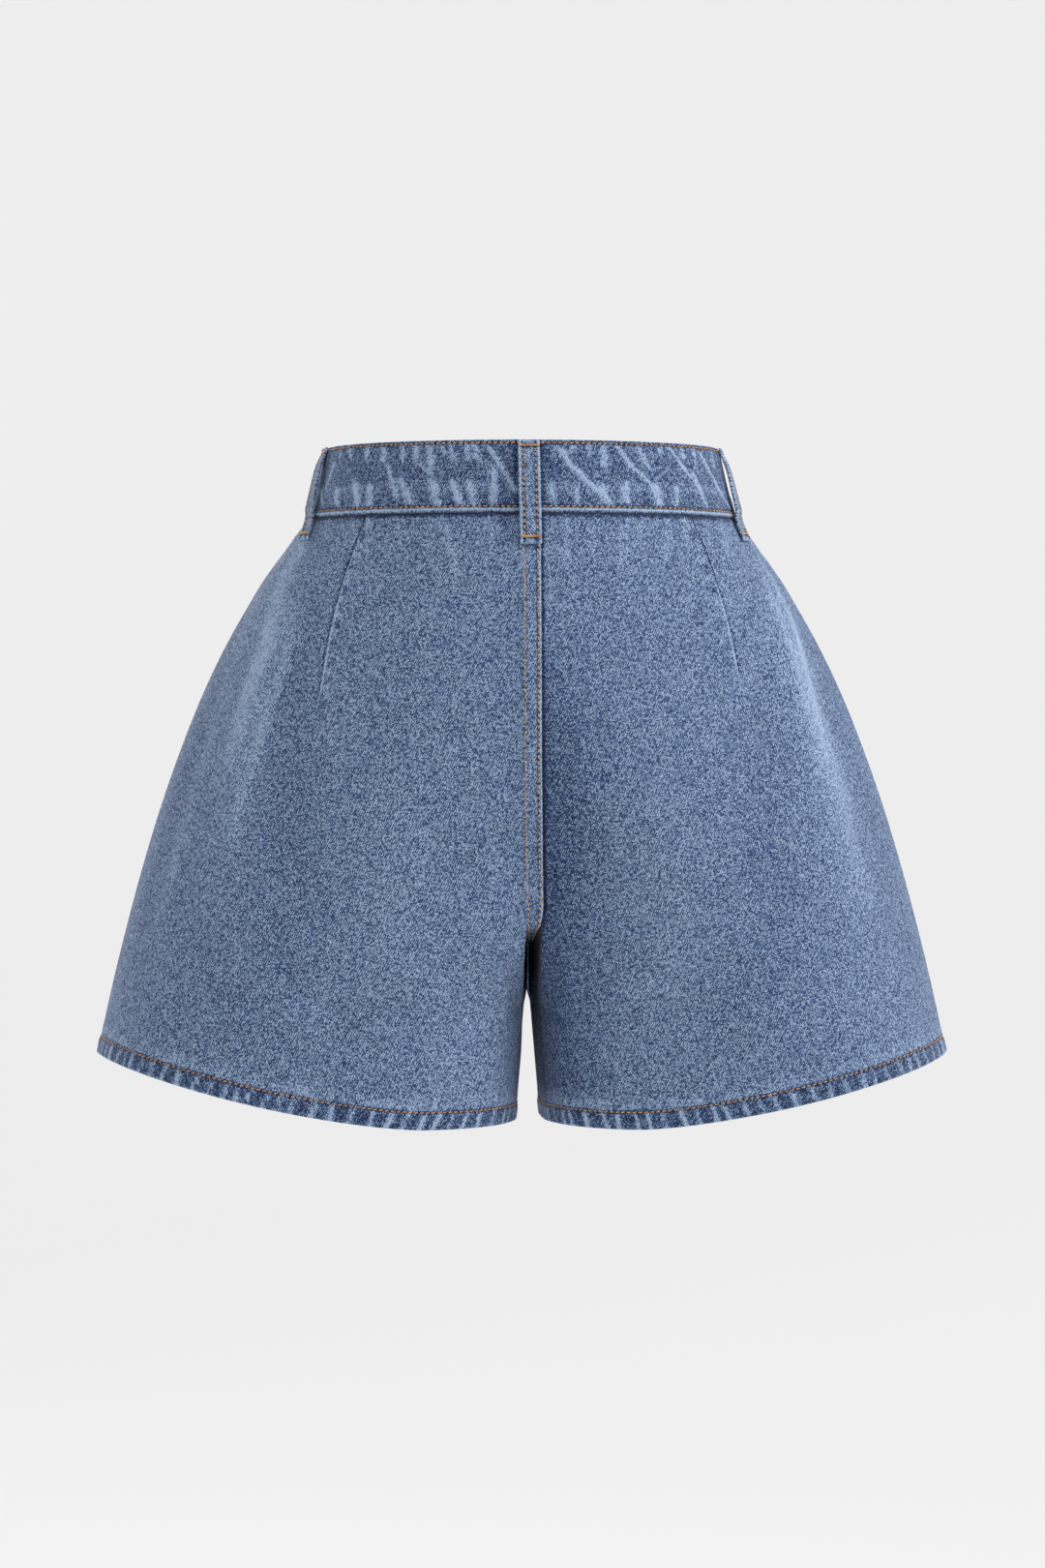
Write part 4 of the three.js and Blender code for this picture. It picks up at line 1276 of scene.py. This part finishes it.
def add_noise(tree, vector, scale, detail, roughness=0.5):
    node = tree.nodes.new("ShaderNodeTexNoise")
    node.inputs["Scale"].default_value = scale
    node.inputs["Detail"].default_value = detail
    node.inputs["Roughness"].default_value = roughness
    tree.links.new(vector, node.inputs["Vector"])
    return node.outputs["Fac"]


def add_mapping(tree, vector, turn, scale):
    node = tree.nodes.new("ShaderNodeMapping")
    node.inputs["Rotation"].default_value[2] = turn
    node.inputs["Scale"].default_value = scale
    tree.links.new(vector, node.inputs["Vector"])
    return node.outputs["Vector"]


def centred(tree, value, gain):
    """A noise value moved to zero and stretched"""
    return add_math(tree, "MULTIPLY", add_math(tree, "SUBTRACT", value, 0.5), gain)


def build_twill_group():
    """Twill: diagonal ribs, each a row of yarn floats of uneven tone, with slubs down the warp"""
    group, start, end = new_group(
        "twill_weave",
        [("Cloth", "NodeSocketVector", None), ("Pitch", "NodeSocketFloat", 0.0011)],
        [("Rib", "NodeSocketFloat"), ("Yarn", "NodeSocketFloat"), ("Slub", "NodeSocketFloat")],
    )
    cloth = start.outputs["Cloth"]
    rib_way = add_mapping(group, cloth, RIB_SLANT, (1, 1, 1))
    split = group.nodes.new("ShaderNodeSeparateXYZ")
    group.links.new(rib_way, split.inputs[0])
    wander = centred(group, add_noise(group, cloth, 90, 1), 0.3)
    pitches = add_math(group, "DIVIDE", split.outputs["Y"], start.outputs["Pitch"])
    across = add_math(group, "ADD", pitches, wander)
    rib_number = add_math(group, "FLOOR", add_math(group, "MULTIPLY", across, 2))
    rib = add_math(group, "SINE", add_math(group, "MULTIPLY", across, 2 * math.pi))
    rib = add_math(group, "MULTIPLY_ADD", rib, 0.5, 0.5)
    along = add_math(group, "MULTIPLY", split.outputs["X"], 1 / YARN_FLOAT)
    along = add_math(group, "MULTIPLY_ADD", rib_number, 0.37, along)
    cell = group.nodes.new("ShaderNodeCombineXYZ")
    group.links.new(add_math(group, "FLOOR", along), cell.inputs["X"])
    group.links.new(rib_number, cell.inputs["Y"])
    tone = group.nodes.new("ShaderNodeTexWhiteNoise")
    tone.noise_dimensions = "2D"
    group.links.new(cell.outputs[0], tone.inputs["Vector"])
    along_warp = add_mapping(group, cloth, 0, (2200, 420, 1))
    slub = add_noise(group, along_warp, 1, 2, 0.55)
    group.links.new(rib, end.inputs["Rib"])
    group.links.new(tone.outputs["Value"], end.inputs["Yarn"])
    group.links.new(slub, end.inputs["Slub"])
    return group


def build_wash_group():
    """Stone wash: worn crests and edges, with the painted shade and highlight that come in the same input,
    broken up by soft patches and by the yarns themselves
    """
    group, start, end = new_group(
        "stone_wash",
        [("Cloth", "NodeSocketVector", None), ("Wear and painted light", "NodeSocketFloat", 0.0),
         ("Rib", "NodeSocketFloat", 0.5), ("Yarn", "NodeSocketFloat", 0.5),
         ("Slub", "NodeSocketFloat", 0.5), ("Base", "NodeSocketFloat", 0.45)],
        [("Fade", "NodeSocketFloat")],
    )
    patches = centred(group, add_noise(group, start.outputs["Cloth"], 22, 3, 0.6), 0.16)
    ribs = centred(group, start.outputs["Rib"], 0.66)
    yarns = centred(group, start.outputs["Yarn"], 1.3)
    slubs = centred(group, start.outputs["Slub"], 0.2)
    total = add_math(group, "ADD", start.outputs["Base"], start.outputs["Wear and painted light"])
    for part in (patches, ribs, yarns, slubs):
        total = add_math(group, "ADD", total, part)
    group.links.new(total, end.inputs["Fade"])
    return group


def build_denim(name, base, twill, wash):
    """Denim: washed yarn colours from indigo to its pale core, with near black below indigo for painted
    shadow, raised ribs and a dry, rough finish
    """
    material = bpy.data.materials.new(name)
    material.use_nodes = True
    tree = material.node_tree
    shader = tree.nodes["Principled BSDF"]
    shader.inputs["Specular IOR Level"].default_value = 0.18
    shader.inputs["Sheen Weight"].default_value = 0.12
    shader.inputs["Sheen Roughness"].default_value = 0.6
    cloth = tree.nodes.new("ShaderNodeUVMap")
    cloth.uv_map = "cloth"
    weave = tree.nodes.new("ShaderNodeGroup")
    weave.node_tree = twill
    tree.links.new(cloth.outputs["UV"], weave.inputs["Cloth"])
    # this attribute holds how worn the cloth is together with its painted shade and highlight
    worn = tree.nodes.new("ShaderNodeAttribute")
    worn.attribute_name = "wear_and_painted_light"
    inside = tree.nodes.new("ShaderNodeAttribute")
    inside.attribute_name = "inside"
    fade = tree.nodes.new("ShaderNodeGroup")
    fade.node_tree = wash
    fade.inputs["Base"].default_value = base
    tree.links.new(cloth.outputs["UV"], fade.inputs["Cloth"])
    wear_and_painted_light = add_math(tree, "MULTIPLY_ADD", inside.outputs["Fac"], 0.22, worn.outputs["Fac"])
    tree.links.new(wear_and_painted_light, fade.inputs["Wear and painted light"])
    for label in ("Rib", "Yarn", "Slub"):
        tree.links.new(weave.outputs[label], fade.inputs[label])
    ramp = tree.nodes.new("ShaderNodeValToRGB")
    tints = colours()
    # below indigo the ramp runs down to near black, for the painted shadows between the legs, under the
    # waistband and beside the lap and the loops
    ramp.color_ramp.elements[0].position = 0.1
    ramp.color_ramp.elements[0].color = (*(0.08 * part for part in tints.indigo), 1)
    ramp.color_ramp.elements[1].position = 1.0
    ramp.color_ramp.elements[1].color = (*tints.worn, 1)
    for spot, tint in ((0.5, tints.indigo), (0.74, tints.faded)):
        ramp.color_ramp.elements.new(spot).color = (*tint, 1)
    tree.links.new(add_math(tree, "MULTIPLY_ADD", fade.outputs["Fade"], 0.5, 0.5), ramp.inputs["Fac"])
    tree.links.new(ramp.outputs["Color"], shader.inputs["Base Color"])
    rough = add_math(tree, "MULTIPLY_ADD", weave.outputs["Yarn"], 0.15, 0.8)
    tree.links.new(rough, shader.inputs["Roughness"])
    height = add_math(tree, "MULTIPLY_ADD", weave.outputs["Yarn"], 0.8, weave.outputs["Rib"])
    bump = tree.nodes.new("ShaderNodeBump")
    bump.inputs["Distance"].default_value = 0.00022
    bump.inputs["Strength"].default_value = 0.75
    tree.links.new(height, bump.inputs["Height"])
    tree.links.new(bump.outputs["Normal"], shader.inputs["Normal"])
    return material


def build_thread():
    """Tan thread: a little lighter and darker from stitch to stitch, with a fine grain"""
    material = bpy.data.materials.new("tan_thread")
    material.use_nodes = True
    tree = material.node_tree
    shader = tree.nodes["Principled BSDF"]
    shader.inputs["Specular IOR Level"].default_value = 0.3
    shader.inputs["Sheen Weight"].default_value = 0.2
    where = tree.nodes.new("ShaderNodeTexCoord").outputs["Object"]
    slow = add_noise(tree, where, 160, 2)
    fast = add_noise(tree, where, 2200, 1)
    mix = tree.nodes.new("ShaderNodeValToRGB")
    tint = colours().thread
    mix.color_ramp.elements[0].position = 0.3
    mix.color_ramp.elements[0].color = (tint[0] * 0.72, tint[1] * 0.66, tint[2] * 0.6, 1)
    mix.color_ramp.elements[1].position = 0.72
    mix.color_ramp.elements[1].color = (min(1, tint[0] * 1.3), tint[1] * 1.4, tint[2] * 1.6, 1)
    tree.links.new(add_math(tree, "MULTIPLY_ADD", centred(tree, fast, 1), 0.5, slow), mix.inputs["Fac"])
    tree.links.new(mix.outputs["Color"], shader.inputs["Base Color"])
    shader.inputs["Roughness"].default_value = 0.6
    bump = tree.nodes.new("ShaderNodeBump")
    bump.inputs["Distance"].default_value = 0.0001
    tree.links.new(fast, bump.inputs["Height"])
    tree.links.new(bump.outputs["Normal"], shader.inputs["Normal"])
    return material


def build_metal():
    """Antique copper-toned metal in darker and lighter patches, with a slightly uneven surface"""
    material = bpy.data.materials.new("aged_metal")
    material.use_nodes = True
    tree = material.node_tree
    shader = tree.nodes["Principled BSDF"]
    shader.inputs["Metallic"].default_value = 1.0
    where = tree.nodes.new("ShaderNodeTexCoord").outputs["Object"]
    soil = add_noise(tree, where, 420, 4, 0.6)
    ramp = tree.nodes.new("ShaderNodeValToRGB")
    tint = colours().metal
    ramp.color_ramp.elements[0].position = 0.35
    ramp.color_ramp.elements[0].color = (tint[0] * 0.55, tint[1] * 0.5, tint[2] * 0.5, 1)
    ramp.color_ramp.elements[1].position = 0.65
    ramp.color_ramp.elements[1].color = (*tint, 1)
    tree.links.new(soil, ramp.inputs["Fac"])
    tree.links.new(ramp.outputs["Color"], shader.inputs["Base Color"])
    tree.links.new(add_math(tree, "MULTIPLY_ADD", soil, 0.3, 0.22), shader.inputs["Roughness"])
    bump = tree.nodes.new("ShaderNodeBump")
    bump.inputs["Distance"].default_value = 0.00005
    tree.links.new(soil, bump.inputs["Height"])
    tree.links.new(bump.outputs["Normal"], shader.inputs["Normal"])
    return material


class SHORTS_OT_materials(bpy.types.Operator):
    """Makes the denim, thread and metal"""

    bl_idname = "shorts.materials"
    bl_label = "Materials"

    def execute(self, context):
        twill = build_twill_group()
        wash = build_wash_group()
        build_denim("worn_denim", 0.46, twill, wash)
        build_denim("worn_denim_band", 0.45, twill, wash)
        build_thread()
        build_metal()
        return {"FINISHED"}


class SHORTS_OT_panels(bpy.types.Operator):
    """Sews the two back and two front leg panels, each left one lapped over its right one"""

    bl_idname = "shorts.panels"
    bl_label = "Leg panels"

    def execute(self, context):
        for face, face_name in ((BACK, "back"), (FRONT, "front")):
            for side, side_name in ((LEFT, "left"), (RIGHT, "right")):
                piece = panel_piece(side, face, f"{face_name}_{side_name}_cloth")
                if side == LEFT:
                    join_pieces(piece, [lap_strip(face)])
                finish_piece(piece, "worn_denim")
                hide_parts(f"{face_name}_{side_name}")
        return {"FINISHED"}


class SHORTS_OT_waistband(bpy.types.Operator):
    """Makes the waistband with its lapped ends and buttonhole"""

    bl_idname = "shorts.waistband"
    bl_label = "Waistband"

    def execute(self, context):
        piece = waistband_piece()
        finish_piece(piece, "worn_denim_band")
        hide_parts("waistband")
        return {"FINISHED"}


class SHORTS_OT_loops(bpy.types.Operator):
    """Makes the belt loops with their stitches and bar tacks"""

    bl_idname = "shorts.loops"
    bl_label = "Belt loops"

    def execute(self, context):
        for name, side, face, share in LOOPS:
            piece = loop_piece(f"{name}_cloth", side, face, share)
            finish_piece(piece, "worn_denim_band")
            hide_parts(name)
            loop_sewing(f"{name}_sewing", side, face, share)
        return {"FINISHED"}


class SHORTS_OT_fly(bpy.types.Operator):
    """Makes the strip behind the fly and the buttons"""

    bl_idname = "shorts.fly"
    bl_label = "Fly and buttons"

    def execute(self, context):
        cloth = cloth_sizes().cloth
        z = np.arange(WAIST_SEAM - SEAM_GAP, WAIST_SEAM - FLY_LENGTH + 16, -2.0)[:, None]
        reach = np.linspace(9, -FLY_WIDTH, 40)[None]
        depth = cloth + SEAM_GAP + (FLY_DEPTH - cloth - SEAM_GAP) * smooth_step(-2.4, 4.9, -reach)
        places = []
        for sink in (depth, depth + cloth):
            share = np.abs(reach) / read_level(FRONT, "length", z)
            side = np.where(reach > 0, RIGHT, LEFT) + 0 * z.astype(int)
            point = form_point(side, FRONT, share, z + 0 * reach)
            normal = form_normal(side, FRONT, share, z + 0 * reach)
            lift = fold_lift(share, z, read_level(FRONT, "length", z)) - sink
            places.append(point + normal * lift[..., None])
        flat = cloth_map(-reach + 0 * z, z + 0 * reach)
        piece = sheet_object("fly_underlap_cloth", places[0], places[1], flat, 0 * (reach + z))
        finish_piece(piece, "worn_denim")
        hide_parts("fly_underlap")
        waist_button()
        fly_buttons()
        return {"FINISHED"}


def waist_button():
    """The shank button: a dished head with a raised rim and a small dome, on its neck"""
    centre = band_frame(np.array([RIGHT]), np.array([1.0]), np.array([0.0]), np.array([0.0]))[0]
    neck = BAND_WALL + 2 * SEAM_GAP
    seat = centre[0] + np.array([0, 1.0, 0]) * (BAND_PROUD + SEAM_GAP)
    turned_button("button_waist_metal", "button_waist", seat, np.array([0, 1.0, 0]), [
        (0.2, 0), (2.4, 0), (2.4, neck), (7.4, neck), (8.2, neck + 0.5), (8.5, neck + 1.2), (8.4, neck + 1.9),
        (7.9, neck + 2.5), (7.2, neck + 2.75), (6.6, neck + 2.6), (6.1, neck + 2.1), (5.4, neck + 1.95),
        (4.2, neck + 2.1), (2.8, neck + 2.45), (1.4, neck + 2.65), (0.2, neck + 2.7),
    ])


def fly_buttons():
    for number, drop in enumerate(FLY_BUTTON_DROPS, 1):
        z = np.array([WAIST_SEAM - drop])
        share = FLY_BUTTON_REACH / read_level(FRONT, "length", z)
        normal = form_normal(LEFT, FRONT, share, z)[0]
        lift = fold_lift(share, z, read_level(FRONT, "length", z))[0] - (FLY_DEPTH + 1.3 + 1.5) / 2
        seat = form_point(LEFT, FRONT, share, z)[0] + normal * lift
        turned_button(f"button_fly_{number}_metal", f"button_fly_{number}", seat, normal, [
            (0.2, 0), (6.4, 0), (7.0, 0.4), (7.0, 1.0), (6.5, 1.4), (5.6, 1.5), (4.8, 1.25), (0.2, 1.15),
        ])


class SHORTS_OT_sewing(bpy.types.Operator):
    """Sews the hems, centre seams, fly and waistband"""

    bl_idname = "shorts.sewing"
    bl_label = "Sewing"

    def execute(self, context):
        sew("hem_sewing", stitch_rows(hem_lines()))
        both_centres = centre_lines(BACK, BAND_FOOT - 1) + centre_lines(FRONT, BAND_FOOT - 1)
        sew("centre_sewing", stitch_rows(both_centres))
        sew("fly_sewing", stitch_rows(fly_lines()))
        sew("waistband_sewing", stitch_rows(band_lines()))
        return {"FINISHED"}


class SHORTS_OT_stage(bpy.types.Operator):
    """Sets the pale floor and cove, the soft lights and the camera"""

    bl_idname = "shorts.stage"
    bl_label = "Stage"

    def execute(self, context):
        build_cove()
        build_lights()
        build_camera()
        context.scene.view_settings.view_transform = "Standard"
        return {"FINISHED"}


def build_cove():
    """A round floor that curves up into a wall all round, turned from one profile; it glows as the stage's
    fill light, dimmer on the side that faces the wearer's back and low down
    """
    floor_z, floor_radius, bend, wall_top = -1150.0, 3400.0, 1400.0, 4200.0
    turn = np.linspace(0, math.pi / 2, 24)
    curve_out = floor_radius + bend * np.sin(turn)[1:]
    curve_up = floor_z + bend * (1 - np.cos(turn))[1:]
    radius = np.concatenate([[1], np.linspace(300, floor_radius, 8), curve_out, [floor_radius + bend]])
    height = np.concatenate([[floor_z], np.full(8, floor_z), curve_up, [wall_top]])
    sides = 96
    around = np.arange(sides) * 2 * math.pi / sides
    places = np.stack([
        radius[:, None] * np.cos(around), radius[:, None] * np.sin(around), height[:, None] + 0 * around,
    ], axis=-1)
    spot = np.arange(places.shape[0] * sides).reshape(-1, sides)
    ahead = np.roll(spot, -1, axis=1)
    quads = np.stack([spot[:-1], spot[1:], ahead[1:], ahead[:-1]], axis=-1).reshape(-1, 4)
    faces = quads.tolist() + [spot[0].tolist()]
    cove = mesh_object("cove", places, faces)
    material = bpy.data.materials.new("cove_paint")
    material.use_nodes = True
    tree = material.node_tree
    shader = tree.nodes["Principled BSDF"]
    shader.inputs["Base Color"].default_value = (0.25, 0.25, 0.25, 1)
    shader.inputs["Roughness"].default_value = 1.0
    shader.inputs["Specular IOR Level"].default_value = 0.0
    shade = tree.nodes.new("ShaderNodeMapRange")
    shade.inputs["From Min"].default_value = COVE_DIM_END * MM
    shade.inputs["From Max"].default_value = COVE_DIM_START * MM
    split = tree.nodes.new("ShaderNodeSeparateXYZ")
    rise = tree.nodes.new("ShaderNodeMapRange")
    rise.inputs["From Min"].default_value = floor_z * MM
    rise.inputs["From Max"].default_value = COVE_DIM_HIGH * MM
    rise.inputs["To Min"].default_value = COVE_DIM
    rise.inputs["To Max"].default_value = COVE_BRIGHT
    tree.links.new(split.outputs["Z"], rise.inputs["Value"])
    tree.links.new(rise.outputs["Result"], shade.inputs["To Min"])
    tree.links.new(tree.nodes.new("ShaderNodeTexCoord").outputs["Object"], split.inputs[0])
    tree.links.new(split.outputs["Y"], shade.inputs["Value"])
    tint = tree.nodes.new("ShaderNodeVectorMath")
    tint.operation = "SCALE"
    tint.inputs[0].default_value = colours().backdrop
    tree.links.new(shade.outputs["Result"], tint.inputs["Scale"])
    tree.links.new(tint.outputs[0], shader.inputs["Emission Color"])
    shader.inputs["Emission Strength"].default_value = COVE_GLOW
    material.cycles.emission_sampling = "NONE"
    cove.data.materials.append(material)


def build_lights():
    aim = np.array([0, 0, CAMERA_HEIGHT])
    for name, light in LIGHTS.items():
        data = bpy.data.lights.new(name, "AREA")
        data.shape = "DISK"
        data.size = light["size"] * MM
        data.energy = light["power"]
        lamp = bpy.data.objects.new(name, data)
        lamp.location = np.array(light["place"]) * MM
        lamp.rotation_euler = look_rotation(np.array(light["place"], float), aim)
        bpy.context.scene.collection.objects.link(lamp)
    world = bpy.data.worlds.new("studio")
    world.use_nodes = True
    world.node_tree.nodes["Background"].inputs["Color"].default_value = (1, 1, 1, 1)
    world.node_tree.nodes["Background"].inputs["Strength"].default_value = 0.3
    bpy.context.scene.world = world


def look_rotation(place, aim):
    return Vector(aim - place).to_track_quat("-Z", "Y").to_euler()


def build_camera():
    data = bpy.data.cameras.new("camera")
    data.sensor_fit = "VERTICAL"
    data.sensor_height = SENSOR
    data.lens = SENSOR * CAMERA_DISTANCE / VIEW_HEIGHT
    data.clip_end = 50
    camera = bpy.data.objects.new("camera", data)
    place = np.array([-math.sin(CAMERA_TURN), -math.cos(CAMERA_TURN), 0]) * CAMERA_DISTANCE
    place[2] = CAMERA_HEIGHT
    camera.location = place * MM
    camera.rotation_euler = look_rotation(place, np.array([0, 0, CAMERA_HEIGHT]))
    bpy.context.scene.collection.objects.link(camera)
    bpy.context.scene.camera = camera


class SHORTS_PT_panel(bpy.types.Panel):
    """Lists the steps that sew the shorts"""

    bl_idname = "SHORTS_PT_panel"
    bl_label = "Denim shorts"
    bl_space_type = "VIEW_3D"
    bl_region_type = "UI"
    bl_category = "Shorts"

    def draw(self, context):
        for group in (context.scene.shorts_cloth, context.scene.shorts_colours):
            for name in group.bl_rna.properties.keys():
                if name not in ("rna_type", "name"):
                    self.layout.prop(group, name)
        for step in STEPS:
            self.layout.operator(step.bl_idname)


STEPS = (
    SHORTS_OT_stage, SHORTS_OT_materials, SHORTS_OT_panels, SHORTS_OT_waistband, SHORTS_OT_loops,
    SHORTS_OT_fly, SHORTS_OT_sewing,
)
CLASSES = (ShortsCloth, ShortsColours, *STEPS, SHORTS_PT_panel)


def register():
    for one in CLASSES:
        bpy.utils.register_class(one)
    bpy.types.Scene.shorts_cloth = PointerProperty(type=ShortsCloth)
    bpy.types.Scene.shorts_colours = PointerProperty(type=ShortsColours)


def unregister():
    del bpy.types.Scene.shorts_cloth
    del bpy.types.Scene.shorts_colours
    for one in reversed(CLASSES):
        bpy.utils.unregister_class(one)


def main():
    register()
    bpy.ops.shorts.stage()
    bpy.ops.shorts.materials()
    bpy.ops.shorts.panels()
    bpy.ops.shorts.waistband()
    bpy.ops.shorts.loops()
    bpy.ops.shorts.fly()
    bpy.ops.shorts.sewing()
    bpy.context.view_layer.update()


if __name__ == "__main__":
    main()
